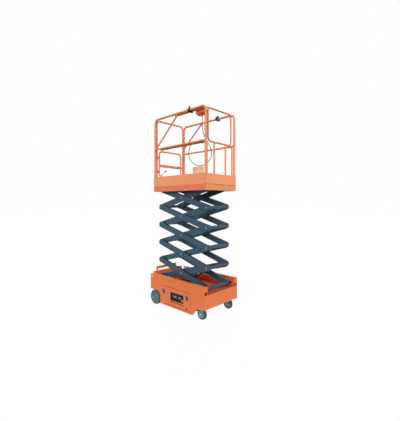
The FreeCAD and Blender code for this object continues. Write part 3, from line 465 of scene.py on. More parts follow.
class Form:
    """A mesh in the making, from turned, boxed and other closed shapes."""

    def __init__(self):
        self.bm = bmesh.new()

    def lathe(self, outline, centre, axis, steps):
        """Turns a closed outline of (distance along the axis, radius) about an axis through centre."""
        axis = Vector(axis).normalized()
        side = axis.orthogonal().normalized()
        other = axis.cross(side)
        rings = []
        for step in range(steps):
            turn = 2.0 * math.pi * step / steps
            out = side * math.cos(turn) + other * math.sin(turn)
            rings.append([self.bm.verts.new(Vector(centre) + axis * along + out * radius)
                          for along, radius in outline])
        for step, ring in enumerate(rings):
            self.band(ring, rings[(step + 1) % steps])

    def band(self, ring, following):
        """Faces between two closed rings of points."""
        faces = []
        for k in range(len(ring)):
            n = (k + 1) % len(ring)
            faces.append(self.bm.faces.new((ring[k], following[k], following[n], ring[n])))
        return faces

    def prism(self, rings, radius=0.0, segments=4):
        """A closed prism between two outlines, with rounded edges."""
        rings = [[self.bm.verts.new(point) for point in ring] for ring in rings]
        faces = [self.bm.faces.new(rings[0]), self.bm.faces.new(rings[1][::-1])]
        faces += self.band(*rings)
        if radius:
            self.round_edges([edge for face in faces for edge in face.edges], radius, segments)

    def box(self, low, high, radius, segments=3):
        low, high = Vector(low), Vector(high)
        points = bmesh.ops.create_cube(self.bm, size=1.0)["verts"]
        bmesh.ops.scale(self.bm, vec=high - low, verts=points)
        bmesh.ops.translate(self.bm, vec=(low + high) / 2.0, verts=points)
        self.round_edges([edge for point in points for edge in point.link_edges], radius, segments)

    def round_edges(self, edges, radius, segments):
        bmesh.ops.bevel(self.bm, geom=list(dict.fromkeys(edges)), offset=radius, offset_type="OFFSET",
                        segments=segments, profile=0.5, affect="EDGES")

    def settle(self, name, finish, body, slot, *nodes):
        """Makes the form a smooth piece; nodes are those that it stands for."""
        bmesh.ops.remove_doubles(self.bm, verts=self.bm.verts, dist=1e-6)
        bmesh.ops.recalc_face_normals(self.bm, faces=self.bm.faces)
        mesh = bpy.data.meshes.new(name)
        self.bm.to_mesh(mesh)
        self.bm.free()
        mesh.shade_smooth()
        mesh.set_sharp_from_angle(angle=math.radians(35.0))
        settle(name, mesh, finish, body, nodes)


# Geometry Nodes: small fixings

class FixingTree(NodeTree):
    """A node group that puts one shape on every vertex, along the vertex's facing direction."""

    def __init__(self, name, *sizes):
        super().__init__(bpy.data.node_groups.new(name, "GeometryNodeTree"))
        face = self.tree.interface
        face.new_socket(name="Geometry", in_out="INPUT", socket_type="NodeSocketGeometry")
        self.sockets = {size: face.new_socket(name=size, in_out="INPUT", socket_type="NodeSocketFloat")
                        for size in sizes}
        self.sockets["Material"] = face.new_socket(name="Material", in_out="INPUT",
                                                   socket_type="NodeSocketMaterial")
        face.new_socket(name="Geometry", in_out="OUTPUT", socket_type="NodeSocketGeometry")
        self.inputs = self.add("NodeGroupInput").outputs

    def part(self, size, factor):
        """A share of one of the sizes."""
        return self.math("MULTIPLY", self.inputs[size], factor)

    def raised(self, mesh, lift):
        way = self.add("ShaderNodeCombineXYZ", {"Z": lift}).outputs["Vector"]
        return self.add("GeometryNodeTransform", {"Geometry": mesh, "Translation": way}).outputs["Geometry"]

    def cylinder(self, sides, radius, depth, lift):
        """A cylinder along the facing direction, its middle raised by lift."""
        node = self.add("GeometryNodeMeshCylinder", {"Vertices": sides, "Radius": radius, "Depth": depth})
        return self.raised(node.outputs["Mesh"], lift)

    def swept(self, path, radius, sides, caps):
        """A round section along a path."""
        section = self.add("GeometryNodeCurvePrimitiveCircle", {"Resolution": sides, "Radius": radius})
        sweep = self.add("GeometryNodeCurveToMesh", {"Curve": path.outputs["Curve"], "Fill Caps": caps,
                                                     "Profile Curve": section.outputs["Curve"]})
        return sweep.outputs["Mesh"]

    def close(self, *shapes):
        """Joins the shapes, puts them on the points, realizes them and sets the material."""
        together = self.add("GeometryNodeJoinGeometry")
        for shape in shapes:
            self.feed(shape, together.inputs["Geometry"])
        facing = self.add("GeometryNodeInputNamedAttribute", {"Name": "facing"}, data_type="FLOAT_VECTOR")
        align = self.add("FunctionNodeAlignRotationToVector", {"Vector": facing.outputs["Attribute"]},
                         axis="Z")
        spread = self.add("GeometryNodeInstanceOnPoints", {
            "Points": self.inputs["Geometry"], "Instance": together.outputs["Geometry"],
            "Rotation": align.outputs["Rotation"]})
        realize = self.add("GeometryNodeRealizeInstances", {"Geometry": spread.outputs["Instances"]})
        paint = self.add("GeometryNodeSetMaterial", {"Geometry": realize.outputs["Geometry"],
                                                     "Material": self.inputs["Material"]})
        self.add("NodeGroupOutput", {"Geometry": paint.outputs["Geometry"]})
        return self


def hex_bolt_tree():
    """Washer, six-sided head and a low round crown."""
    tree = FixingTree("Hex bolt", "Radius", "Height")
    washer = tree.cylinder(20, tree.part("Radius", 1.45), tree.part("Height", 0.30),
                           tree.part("Height", 0.15))
    head = tree.cylinder(6, tree.inputs["Radius"], tree.part("Height", 0.7), tree.part("Height", 0.6))
    crown = tree.cylinder(14, tree.part("Radius", 0.72), tree.part("Height", 0.5), tree.part("Height", 0.75))
    return tree.close(washer, head, crown)


def button_screw_tree():
    """Domed head on a thin flange."""
    tree = FixingTree("Button screw", "Radius", "Height")
    flange = tree.cylinder(16, tree.inputs["Radius"], tree.part("Height", 0.4), tree.part("Height", 0.2))
    dome = tree.cylinder(16, tree.part("Radius", 0.78), tree.part("Height", 0.5), tree.part("Height", 0.6))
    top = tree.cylinder(12, tree.part("Radius", 0.45), tree.part("Height", 0.3), tree.part("Height", 0.85))
    return tree.close(flange, dome, top)


def keeper_tree():
    """An upright retaining plate over a pin's end, with its screw."""
    tree = FixingTree("Pin keeper", "Width", "Length", "Thickness")
    size = tree.add("ShaderNodeCombineXYZ", {"X": tree.inputs["Width"], "Y": tree.inputs["Length"],
                                             "Z": tree.inputs["Thickness"]})
    plate = tree.add("GeometryNodeMeshCube", {"Size": size.outputs["Vector"]})
    body = tree.raised(plate.outputs["Mesh"], tree.part("Thickness", 0.5))
    screw = tree.cylinder(6, tree.part("Width", 0.36), tree.part("Thickness", 1.2),
                          tree.part("Thickness", 1.5))
    return tree.close(body, screw)


def weld_bead_tree():
    """A bead round a tube where it meets a plate."""
    tree = FixingTree("Weld bead", "Tube radius", "Bead radius")
    ring = tree.add("GeometryNodeCurvePrimitiveCircle", {"Resolution": 40,
                                                         "Radius": tree.inputs["Tube radius"]})
    return tree.close(tree.swept(ring, tree.inputs["Bead radius"], 6, False))


def spring_tree():
    """A wire coil that stands on the point."""
    tree = FixingTree("Coil spring", "Coil radius", "Coil length", "Turns", "Wire radius")
    radius = tree.inputs["Coil radius"]
    coil = tree.add("GeometryNodeCurveSpiral", {
        "Resolution": 20, "Rotations": tree.inputs["Turns"], "Start Radius": radius, "End Radius": radius,
        "Height": tree.inputs["Coil length"]})
    return tree.close(tree.swept(coil, tree.inputs["Wire radius"], 8, True))


def head(radius, height):
    """Sizes of a bolt's or screw's head."""
    return {"Radius": radius, "Height": height}


def fixings(name, kind, sizes, finish, body, spots):
    """One mesh of like fixings on one body; spots are (place, facing) pairs."""
    tree = trees[kind]
    points = bpy.data.meshes.new(name + "_spots")
    points.from_pydata([tuple(place) for place, _ in spots], [], [])
    facing = points.attributes.new("facing", "FLOAT_VECTOR", "POINT")
    for k, (_, way) in enumerate(spots):
        facing.data[k].vector = way
    holder = bpy.data.objects.new(name + "_spots", points)
    bpy.context.scene.collection.objects.link(holder)
    modifier = holder.modifiers.new("Fixings", "NODES")
    modifier.node_group = tree.tree
    for size, value in sizes.items():
        modifier[tree.sockets[size].identifier] = value
    modifier[tree.sockets["Material"].identifier] = finishes[finish]
    bpy.context.view_layer.update()
    mesh = bpy.data.meshes.new_from_object(holder.evaluated_get(bpy.context.evaluated_depsgraph_get()))
    bpy.data.objects.remove(holder)
    mesh.name = name
    if "facing" in mesh.attributes:
        mesh.attributes.remove(mesh.attributes["facing"])
    settle(name, mesh, finish, body)


def mirrored(spots):
    """The spots and the same ones on the other side."""
    result = []
    for place, way in spots:
        result.append((place, way))
        result.append(((place[0], -place[1], place[2]), (way[0], -way[1], way[2])))
    return result


# Operators

class LiftOperator(Operator):
    """Shared settings of the lift's operators"""
    bl_options = {"REGISTER", "UNDO"}


class LIFT_OT_finishes(LiftOperator):
    """Give every piece of the frame its paint, plastic, rubber or plating"""
    bl_idname = "lift.finishes"
    bl_label = "Finish the frame's pieces"

    def execute(self, context):
        finishes.update(make_finishes(context.scene.lift_colours))
        trees.update(bolt=hex_bolt_tree(), screw=button_screw_tree(), keeper=keeper_tree(),
                     bead=weld_bead_tree(), spring=spring_tree())
        for name, node in frame["nodes"].items():
            node.data.materials.clear()
            node.data.materials.append(finishes[node_finish(name)])
            node.data.shade_smooth()
            node.data.set_sharp_from_angle(angle=math.radians(28.0))
        return {"FINISHED"}


def tread_outline(half, radius, inner):
    """Half section of a tyre with bevelled shoulders and four grooves."""
    shoulder, drop = 0.010, 0.004
    groove, groove_floor, groove_depth = 0.0022, 0.0022 * 0.6, 0.0025
    outline = [(-half, inner), (-half, radius - drop), (-half + shoulder, radius)]
    for share in (-0.45, -0.15, 0.15, 0.45):
        y = share * 2.0 * (half - shoulder)
        outline += [(y - groove, radius), (y - groove_floor, radius - groove_depth),
                    (y + groove_floor, radius - groove_depth), (y + groove, radius)]
    return outline + [(half - shoulder, radius), (half, radius - drop), (half, inner)]


class LIFT_OT_drive_wheels(LiftOperator):
    """Turned drive tyres with shoulder grooves, dished discs and their nuts"""
    bl_idname = "lift.drive_wheels"
    bl_label = "Drive wheels"

    def execute(self, context):
        steps = context.scene.lift_sizes.lathe_steps
        bore, cap_radius, cap_depth, nut_circle, nut_depth = 0.012, 0.0114, 0.009, 0.058, 0.0176
        for side, way in SIDES:
            body, tyre, rim = "rear_wheel_" + side, "rear_tyre_" + side, "rear_rim_" + side
            centre = middle(tyre)
            _, half, radius = half_size(tyre)
            rim_radius = half_size(rim)[2]
            form = Form()
            form.lathe(rounded(tread_outline(half, radius, rim_radius), 0.006), centre, ACROSS, steps)
            form.settle("drive_tyre_" + side, "drive_rubber", body, "grey_tyre", tyre)
            face = way * half
            # Steps of the dished outside face, as (depth from the tyre's side, radius)
            dish = ((0.0, rim_radius - 0.007), (0.014, rim_radius - 0.014), (0.018, 0.050), (0.015, 0.044),
                    (0.006, 0.036), (0.006, 0.026), (0.004, 0.022), (0.004, bore))
            outline = [(-face, bore), (-face, rim_radius), (face, rim_radius)]
            outline += [(face - way * depth, out) for depth, out in dish]
            form = Form()
            form.lathe(rounded(outline, 0.0025), centre, ACROSS, steps)
            cap = Matrix.Translation(centre + Vector((0.0, face - way * 0.0055, 0.0)))
            bmesh.ops.create_cone(form.bm, cap_ends=True, segments=6, radius1=cap_radius, radius2=cap_radius,
                                  depth=cap_depth, matrix=cap @ Matrix.Rotation(math.radians(90.0), 4, "X"))
            form.settle("drive_disc_" + side, "wheel_disc", body, "wheel_grey", rim)
            nuts = []
            for k in range(5):
                turn = math.radians(72.0 * k + 18.0)
                out, rise = nut_circle * math.cos(turn), nut_circle * math.sin(turn)
                nuts.append((centre + Vector((out, face - way * nut_depth, rise)), (0.0, way, 0.0)))
            fixings("drive_nuts_" + side, "bolt", head(0.0085, 0.008), "wheel_disc", body, nuts)
        return {"FINISHED"}


class LIFT_OT_castors(LiftOperator):
    """Turned castor tyres and hubs with axle bolts"""
    bl_idname = "lift.castors"
    bl_label = "Castors"

    def execute(self, context):
        steps = context.scene.lift_sizes.lathe_steps
        shoulder, hub_inset, bore = 0.007, 0.004, 0.0064
        for side, _ in SIDES:
            wheel, tyre, hub = "castor_wheel_" + side, "castor_tyre_" + side, "castor_hub_" + side
            centre = middle(tyre)
            _, half, radius = half_size(tyre)
            hub_radius = half_size(hub)[2]
            near = [(-half, hub_radius), (-half, radius - shoulder), (-half + shoulder, radius)]
            form = Form()
            form.lathe(rounded(both_ends(near), 0.006, 5), centre, ACROSS, steps)
            form.settle("castor_tread_" + side, "castor_rubber", wheel, "dark_tyre", tyre)
            edge = half - hub_inset
            near = [(-edge, bore), (-edge, 0.017), (-edge + 0.010, 0.021), (-edge + 0.010, 0.046),
                    (-edge, hub_radius - 0.004), (-edge, hub_radius)]
            form = Form()
            form.lathe(rounded(both_ends(near), 0.0018), centre, ACROSS, steps)
            form.settle("castor_disc_" + side, "castor_disc", wheel, "wheel_grey", hub)
            fork_low, fork_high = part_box("castor_fork_" + side)
            ends = [((centre.x, fork_high.y - 0.0005, centre.z), (0, 1, 0)),
                    ((centre.x, fork_low.y + 0.0005, centre.z), (0, -1, 0))]
            fixings("castor_axle_nuts_" + side, "bolt", head(0.0065, 0.005), "zinc", "castor_" + side,
                    ends)
        return {"FINISHED"}


def both_ends(near):
    """An outline and its mirror image about the middle of the axis."""
    return near + [(-along, radius) for along, radius in reversed(near)]


class LIFT_OT_arm_pins(LiftOperator):
    """Retaining plates and bolt heads on the scissor's pins"""
    bl_idname = "lift.arm_pins"
    bl_label = "Arm pin plates"

    def execute(self, context):
        sizes = context.scene.lift_sizes
        plate = {"Width": sizes.keeper_width, "Length": sizes.keeper_length, "Thickness": 0.0014}
        bolt = head(sizes.nut_width, sizes.nut_height)
        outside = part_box("inner_arm_2")[1].y
        for stage in range(1, STAGES + 1):
            z = LOW_Z + (stage - 1) * STAGE_RISE
            spots = [((MIDDLE_X, outside, z + 0.5 * STAGE_RISE), ACROSS)]
            if stage > 1:
                spots.append(((REAR_X, outside, z), ACROSS))
            if stage < STAGES:
                spots.append(((FRONT_X, outside, z + STAGE_RISE), ACROSS))
            # The plates are pale so as to stand for the glint on the pin heads, a painted highlight
            fixings("pin_plates_%d" % stage, "keeper", plate, "keeper", "inner_arm_%d" % stage,
                    mirrored(spots))
        axle_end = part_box("outer_arm_1")[1].y
        for name, body, place in (
                ("base_pin_bolts", "chassis", (REAR_X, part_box("base_lugs")[1].y, LOW_Z)),
                ("platform_pin_bolts", "platform", (REAR_X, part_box("platform_lugs")[1].y, TOP_Z)),
                ("base_axle_bolts", "outer_arm_1", (FRONT_X, axle_end, LOW_Z)),
                ("platform_axle_bolts", "inner_arm_5", (FRONT_X, axle_end, TOP_Z))):
            fixings(name, "bolt", bolt, "zinc", body, mirrored([(place, ACROSS)]))
        return {"FINISHED"}


class LIFT_OT_welds(LiftOperator):
    """Weld beads where posts stand on the toe boards and cross tubes meet the inner arms"""
    bl_idname = "lift.welds"
    bl_label = "Weld beads"

    def execute(self, context):
        bead = context.scene.lift_sizes.bead_width
        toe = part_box("toe_boards")[1]
        post_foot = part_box("guard_rails")[0].z
        y = toe.y - RAIL_RADIUS
        rear_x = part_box("rear_rails")[0].x + 0.015
        front_x = toe.x - RAIL_RADIUS

        def beads(name, tube, radius, finish, body, spots):
            fixings(name, "bead", {"Tube radius": tube, "Bead radius": radius}, finish, body,
                    mirrored(spots))

        # The posts' beads are thinner, so that they stay inside the toe boards' faces
        beads("post_welds", RAIL_RADIUS * 0.95, bead * 0.7, "rail_orange", "platform",
              [((rear_x, y, post_foot), UP), ((front_x, y, post_foot), UP)])
        beads("mid_rail_welds", 0.014, bead, "rail_orange", "platform",
              [((rear_x + RAIL_RADIUS, y, RAIL_Z), ALONG), ((front_x - RAIL_RADIUS, y, RAIL_Z), ALONG)])
        for stage in range(1, STAGES + 1):
            z = LOW_Z + (stage - 1) * STAGE_RISE
            beads("tube_welds_%d" % stage, 0.024, bead, "arm_slate", "inner_arm_%d" % stage,
                  [((REAR_X, ARM_INSIDE_Y, z), ACROSS), ((FRONT_X, ARM_INSIDE_Y, z + STAGE_RISE), ACROSS)])
        return {"FINISHED"}


class LIFT_OT_body_fixings(LiftOperator):
    """Screws, plugs and bolts on the base, the handle and the platform, door flanges and a black seal strip,
    also painted shadow, along the front seam
    """
    bl_idname = "lift.body_fixings"
    bl_label = "Body screws"

    def execute(self, context):
        sizes = context.scene.lift_sizes
        screw = head(sizes.screw_width, sizes.screw_height)
        plug, bolt, small = head(0.0065, 0.0024), head(0.0062, 0.0028), head(0.0045, 0.0022)
        skin_low, skin_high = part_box("side_skins")
        side = skin_high.y
        handle_low, handle_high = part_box("rear_handle")
        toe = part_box("toe_boards")[1]
        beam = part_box("platform_frame")[1]

        def on_side(y, *places):
            """Spots on both sides, from places of (x, z)."""
            return mirrored([((x, y, z), ACROSS) for x, z in places])

        under_rim = skin_high.z - 0.022
        toe_screw_z = 1.9475
        fixings("side_screws", "screw", screw, "base_orange", "chassis",
                on_side(side, *((x, under_rim) for x in (-0.32, -0.14, 0.14, 0.32)),
                        (-0.36, 0.375), (0.40, 0.375)))
        fixings("side_plugs", "screw", plug, "plug_red", "chassis",
                on_side(side, (-0.451, 0.4785), (0.017, 0.462), (0.096, 0.430)))
        fixings("door_plugs", "screw", head(0.016, 0.0036), "plug_red", "side_door_right",
                [((0.258, 0.0001 - side, 0.109), (0, -1, 0))])
        tab = 0.0125    # half the width of the handle's end tabs
        ends = (handle_low.y + tab, handle_high.y - tab)
        fixings("handle_bolts", "bolt", bolt, "zinc", "chassis",
                [((handle_low.x, y, z), (-1, 0, 0)) for y in ends for z in (0.470, 0.495)])
        fixings("toe_screws", "screw", small, "platform_orange", "platform",
                on_side(toe.y - 0.0001, *((x, toe_screw_z) for x in (-0.5, -0.2, 0.1, 0.4))))
        fixings("beam_bolts", "bolt", bolt, "zinc", "platform",
                on_side(beam.y, (-0.318, 1.883), (0.196, 1.872)))
        fixings("beam_plugs", "screw", plug, "plug_red", "platform",
                on_side(beam.y, (-0.552, 1.889)))

        # Return flanges behind the lower edges of the doors
        door_low, door_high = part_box("side_door_right")
        flange_inside, flange_outside, flange_top, margin = 0.3580, 0.3615, 0.0990, 0.004
        form = Form()
        for _, way in SIDES[::-1]:
            y0, y1 = sorted((way * flange_inside, way * flange_outside))
            form.box((door_low.x - margin, y0, skin_low.z + 0.006), (door_high.x + margin, y1, flange_top),
                     0.0012)
        form.settle("door_sills", "base_orange", "chassis", "orange_paint")

        # Black strip along the seam between the sliding deck's front and the beam under it: a seal that is
        # also painted shadow of the gap
        seam_z = beam.z - 0.012
        half_width, half_height = 0.344, 0.0022
        form = Form()
        form.box((toe.x - 0.001, -half_width, seam_z - half_height),
                 (toe.x + 0.0006, half_width, seam_z + half_height), 0.0004, 1)
        form.settle("front_seam_shadow_strip", "cable_rubber", "deck_extension", "black_rubber")
        return {"FINISHED"}


class LIFT_OT_latches(LiftOperator):
    """Round door latches with a dark well and a grip"""
    bl_idname = "lift.latches"
    bl_label = "Door latches"

    def execute(self, context):
        for side, way in SIDES:
            low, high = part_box("door_latches_" + side)
            body = "side_door_" + side
            face = low.y if way > 0 else high.y
            radius = (high.z - low.z) / 2.0
            z = (high.z + low.z) / 2.0
            # Outlines of (distance out from the door's face, radius)
            plate = ((-0.0005, 0.024), (-0.0005, radius), (0.003, radius), (0.0055, radius - 0.005),
                     (0.0055, 0.028), (0.004, 0.024))
            well = ((-0.0005, 0.004), (-0.0005, 0.0245), (0.0030, 0.0245), (0.0018, 0.018), (0.0012, 0.004))
            grip_low, grip_high = sorted((face + way * 0.0006, face + way * 0.0088))
            plates, wells = Form(), Form()
            for x in (low.x + radius, high.x - radius):
                centre = (x, face, z)
                plates.lathe(rounded([(out * way, r) for out, r in plate], 0.0015), centre, ACROSS, 64)
                wells.lathe([(out * way, r) for out, r in well], centre, ACROSS, 48)
                plates.box((x - 0.020, grip_low, z - 0.0045), (x + 0.020, grip_high, z + 0.0045), 0.002)
            plates.settle("latch_plates_" + side, "latch_grey", body, "grey_metal", "door_latches_" + side)
            wells.settle("latch_wells_" + side, "grey_plastic", body, "black_plastic")
        return {"FINISHED"}


class LIFT_OT_ground_controls(LiftOperator):
    """Display, lamp, key switch, stop button and keys in the ground panel, and a dark red lip under it that
    is also painted shadow along its lower edge
    """
    bl_idname = "lift.ground_controls"
    bl_label = "Ground controls"

    def execute(self, context):
        low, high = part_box("ground_panel")
        key = middle("key_switch")
        stop = middle("stop_button")
        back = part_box("stop_button")[1].y
        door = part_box("side_door_right")[0].y

        def boxed(name, finish, slot, radius, *boxes):
            form = Form()
            for x0, x1, y0, y1, z0, z1 in boxes:
                form.box((x0, y0, z0), (x1, y1, z1), radius)
            form.settle(name, finish, "side_door_right", slot)

        boxed("panel_bezel", "grey_plastic", "black_plastic", 0.002,
              (-0.086, 0.040, back - 0.003, back + 0.0005, 0.205, 0.262))
        boxed("panel_display", "display", "grey_metal", 0.0006,
              (-0.026, 0.030, back - 0.0042, back - 0.0025, 0.216, 0.246))
        lefts = [low.x + 0.026 + k * 0.034 for k in range(5)]
        boxed("panel_keys", "grey_plastic", "black_plastic", 0.0018,
              *((x, x + 0.022, back - 0.0045, back + 0.0005, 0.180, 0.192) for x in lefts))
        # A dark red lip strip under the panel, also painted shadow along the panel's lower edge
        boxed("panel_lip_shadow", "plug_red", "orange_paint", 0.0012,
              (low.x - 0.004, high.x + 0.004, door - 0.0035, door + 0.001, 0.134, 0.146))

        form = Form()
        form.lathe([(-0.002, 0.0006), (-0.002, 0.0065), (-0.0055, 0.0060), (-0.0068, 0.0035),
                    (-0.0070, 0.0006)], (-0.056, back, 0.234), ACROSS, 32)
        form.settle("panel_lamp", "castor_disc", "side_door_right", "grey_metal")
        form = Form()
        form.lathe(rounded([(0.0005, 0.002), (0.0005, 0.0175), (-0.006, 0.0175), (-0.008, 0.0145),
                            (-0.0085, 0.002)], 0.001), (key.x, back, key.z), ACROSS, 48)
        form.box((key.x - 0.0022, back - 0.0215, key.z - 0.0095),
                 (key.x + 0.0022, back - 0.008, key.z + 0.0095), 0.0012)
        form.settle("panel_key_switch", "key_blue", "side_door_right", "grey_metal", "key_switch")
        form = Form()
        form.lathe(rounded([(0.0005, 0.002), (0.0005, 0.021), (-0.003, 0.021), (-0.0035, 0.002)], 0.0008),
                   (stop.x, back, stop.z), ACROSS, 56)
        form.settle("panel_stop_ring", "yellow_ring", "side_door_right", "black_plastic")
        form = Form()
        form.lathe([(-0.003, 0.0004), (-0.003, 0.0115), (-0.009, 0.0115), (-0.0095, 0.0170),
                    (-0.0140, 0.0175), (-0.0190, 0.0120), (-0.0198, 0.0004)],
                   (stop.x, back, stop.z), ACROSS, 56)
        form.settle("panel_stop_head", "stop_red", "side_door_right", "red_plastic", "stop_button")
        return {"FINISHED"}


class LIFT_OT_platform_controls(LiftOperator):
    """Wedge-shaped control box on the rail with its joystick, stop button, keys and strap"""
    bl_idname = "lift.platform_controls"
    bl_label = "Platform controls"

    def execute(self, context):
        low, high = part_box("platform_control_box")
        y0, y1, top = low.y, high.y, high.z
        slope_run, slope_drop = 0.054, 0.026
        body = "deck_extension"
        side = [(y0, top), (y0, top - 0.055), (y0 + 0.014, top - 0.067), (y1 - 0.016, top - 0.083),
                (y1, top - 0.070), (y1, top - 0.026), (y0 + 0.040, top)]
        form = Form()
        form.prism([[(x, y, z) for y, z in side] for x in (low.x, high.x)], 0.005)
        form.lathe([(0.0, 0.0054), (0.0, 0.0090), (0.030, 0.0090), (0.030, 0.0054)], CABLE_ROUTE[0], UP, 32)
        form.settle("control_shell", "control_orange", body, "orange_plastic", "platform_control_box")

        facing = Vector((0.0, slope_drop, slope_run)).normalized()
        down_slope = Vector((0.0, slope_run, -slope_drop)).normalized()
        corner = Vector((low.x, y0 + 0.040, top))

        def on_face(x, along, height=0.0):
            """A point on the sloped face, from its upper left corner."""
            return corner + Vector((x, 0.0, 0.0)) + down_slope * along + facing * height

        plate = ((0.008, 0.005), (0.162, 0.005), (0.162, 0.055), (0.008, 0.055))
        stick = on_face(0.042, 0.030)
        form = Form()
        form.prism([[on_face(x, along, height) for x, along in plate] for height in (-0.001, 0.0016)])
        form.lathe([(0.0, 0.0005), (0.0, 0.0190), (0.004, 0.0185), (0.008, 0.013), (0.013, 0.008),
                    (0.014, 0.0005)], stick, facing, 40)
        form.lathe([(0.010, 0.0005), (0.010, 0.0050), (0.030, 0.0062), (0.036, 0.0092), (0.046, 0.0090),
                    (0.0495, 0.0060), (0.0500, 0.0005)], stick, facing, 32)
        form.box((low.x + 0.020, y1 - 0.002, top - 0.070), (low.x + 0.030, y1 + 0.004, top - 0.034), 0.0015)
        form.settle("control_fittings", "black_plastic", body, "black_plastic")

        form = Form()
        for k in range(3):
            for along in (0.018, 0.040):
                form.lathe([(0.0, 0.0004), (0.0, 0.0058), (0.0030, 0.0056), (0.0042, 0.0040),
                            (0.0044, 0.0004)], on_face(0.082 + 0.017 * k, along), facing, 24)
        form.settle("control_keys", "castor_disc", body, "grey_metal")
        form = Form()
        form.lathe([(0.0, 0.0006), (0.0, 0.0080), (0.007, 0.0080), (0.008, 0.0145), (0.013, 0.0150),
                    (0.0170, 0.0095), (0.0176, 0.0006)], on_face(0.146, 0.028), facing, 40)
        form.settle("control_stop_head", "stop_red", body, "red_plastic")
        return {"FINISHED"}


class LIFT_OT_document_box(LiftOperator):
    """Pale plastic box with a stepped lid, ribs and a catch"""
    bl_idname = "lift.document_box"
    bl_label = "Document box"

    def execute(self, context):
        low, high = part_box("document_box")
        lid_z = high.z - 0.045
        form = Form()
        form.box((low.x + 0.003, low.y + 0.002, low.z), (high.x - 0.003, high.y, lid_z), 0.006)
        form.box((low.x, low.y, lid_z - 0.004), high, 0.006)
        for k in range(4):
            x = low.x + 0.040 + k * 0.050
            form.box((x, low.y + 0.0005, low.z + 0.030), (x + 0.010, low.y + 0.006, lid_z - 0.025), 0.0015, 2)
        x = (low.x + high.x) / 2.0
        form.box((x - 0.018, low.y - 0.0015, lid_z - 0.022), (x + 0.018, low.y + 0.003, lid_z + 0.010),
                 0.002, 2)
        form.settle("document_case", "document", "platform", "light_orange_plastic", "document_box")
        return {"FINISHED"}


class LIFT_OT_control_cable(LiftOperator):
    """The control box's cable, hung in a loop inside the rails, with its strain relief and clip"""
    bl_idname = "lift.control_cable"
    bl_label = "Control cable"

    def execute(self, context):
        width = context.scene.lift_sizes.cable_width
        curve = bpy.data.curves.new("control_lead", "CURVE")
        curve.dimensions = "3D"
        spline = curve.splines.new("NURBS")
        spline.points.add(len(CABLE_ROUTE) - 1)
        for point, place in zip(spline.points, CABLE_ROUTE):
            point.co = (*place, 1.0)
        spline.order_u = 3
        spline.use_endpoint_u = True
        curve.resolution_u = 12
        curve.bevel_depth = width / 2.0
        curve.bevel_resolution = 4
        curve.use_fill_caps = True
        curve.materials.append(finishes["cable_rubber"])
        lead = bpy.data.objects.new("control_lead", curve)
        context.scene.collection.objects.link(lead)
        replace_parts(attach(lead, "deck_extension"), "control_cable")
        form = Form()
        form.lathe([(0.0005, 0.0048), (0.0005, 0.0088), (-0.006, 0.0086), (-0.028, 0.0060),
                    (-0.030, 0.0048)], CABLE_ROUTE[0], UP, 32)
        form.settle("control_lead_relief", "cable_rubber", "deck_extension", "black_rubber")
        form = Form()
        form.box((0.4513, -0.3078, 2.5435), (0.4807, -0.2553, 2.5877), 0.003)
        form.settle("control_lead_clip", "black_plastic", "deck_extension", "black_plastic")
        return {"FINISHED"}


class LIFT_OT_gate_fittings(LiftOperator):
    """Spring bolt with its knob on the gate's bar, the lever on its lower tube, and the strike"""
    bl_idname = "lift.gate_fittings"
    bl_label = "Gate fittings"

    def execute(self, context):
        gate_low, gate_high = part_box("rear_gate")
        plane = (gate_low.x + gate_high.x) / 2.0
        bar_z = 2.300                           # the gate's middle bar
        bolt_x = plane + 0.006 + 0.0105         # bar's half thickness and the bolt's reach
        spring_y, knob_y = 0.046, 0.146
        form = Form()
        for y in (0.040, 0.136):
            form.box((plane + 0.0055, y, bar_z - 0.012), (bolt_x + 0.011, y + 0.005, bar_z + 0.012), 0.001, 2)
        form.lathe([(0.030, 0.0005), (0.030, 0.0048), (0.158, 0.0048), (0.158, 0.0005)],
                   (bolt_x, 0.0, bar_z), ACROSS, 24)
        form.settle("gate_bolt", "zinc", "rear_gate", "zinc_steel")
        coil = {"Coil radius": 0.0088, "Coil length": 0.088, "Turns": 14.0, "Wire radius": 0.0014}
        fixings("gate_spring", "spring", coil, "zinc", "rear_gate",
                [((bolt_x, spring_y, bar_z), ACROSS)])

        foot = Vector((plane + 0.019, -0.2267, 2.1290))
        tip = Vector((plane + 0.019, -0.1263, 2.2110))
        way = (tip - foot).normalized()
        length = (tip - foot).length
        form = Form()
        form.lathe([(-0.006, 0.0005), (-0.006, 0.0090), (length, 0.0066), (length, 0.0005)], foot, way, 20)
        form.lathe([(-0.008, 0.0005), (-0.008, 0.0105), (0.006, 0.0105), (0.006, 0.0005)], foot, ALONG, 24)
        form.settle("gate_lever", "zinc", "rear_gate", "zinc_steel")
        form = Form()
        form.lathe([(-0.006, 0.0005), (-0.005, 0.0098), (0.003, 0.0142), (0.012, 0.0142), (0.020, 0.0095),
                    (0.0235, 0.0005)], tip, way, 24)
        form.lathe([(-0.004, 0.0005), (-0.003, 0.0105), (0.005, 0.0148), (0.013, 0.0145), (0.020, 0.0090),
                    (0.0225, 0.0005)], (bolt_x + 0.004, knob_y, bar_z), ACROSS, 28)
        form.settle("gate_knobs", "black_plastic", "rear_gate", "black_plastic")

        low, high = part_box("gate_latch")
        form = Form()
        for z in (low.z + 0.0045, high.z - 0.0045):
            form.box((low.x - 0.0022, low.y + 0.003, z - 0.0025), (low.x + 0.001, high.y - 0.003, z + 0.0025),
                     0.0008, 2)
        form.lathe([(-0.001, 0.0005), (-0.001, 0.0045), (0.0022, 0.0040), (0.0024, 0.0005)],
                   (high.x, (low.y + high.y) / 2.0, (low.z + high.z) / 2.0), ALONG, 20)
        form.settle("gate_strike", "zinc", "platform", "zinc_steel")
        return {"FINISHED"}


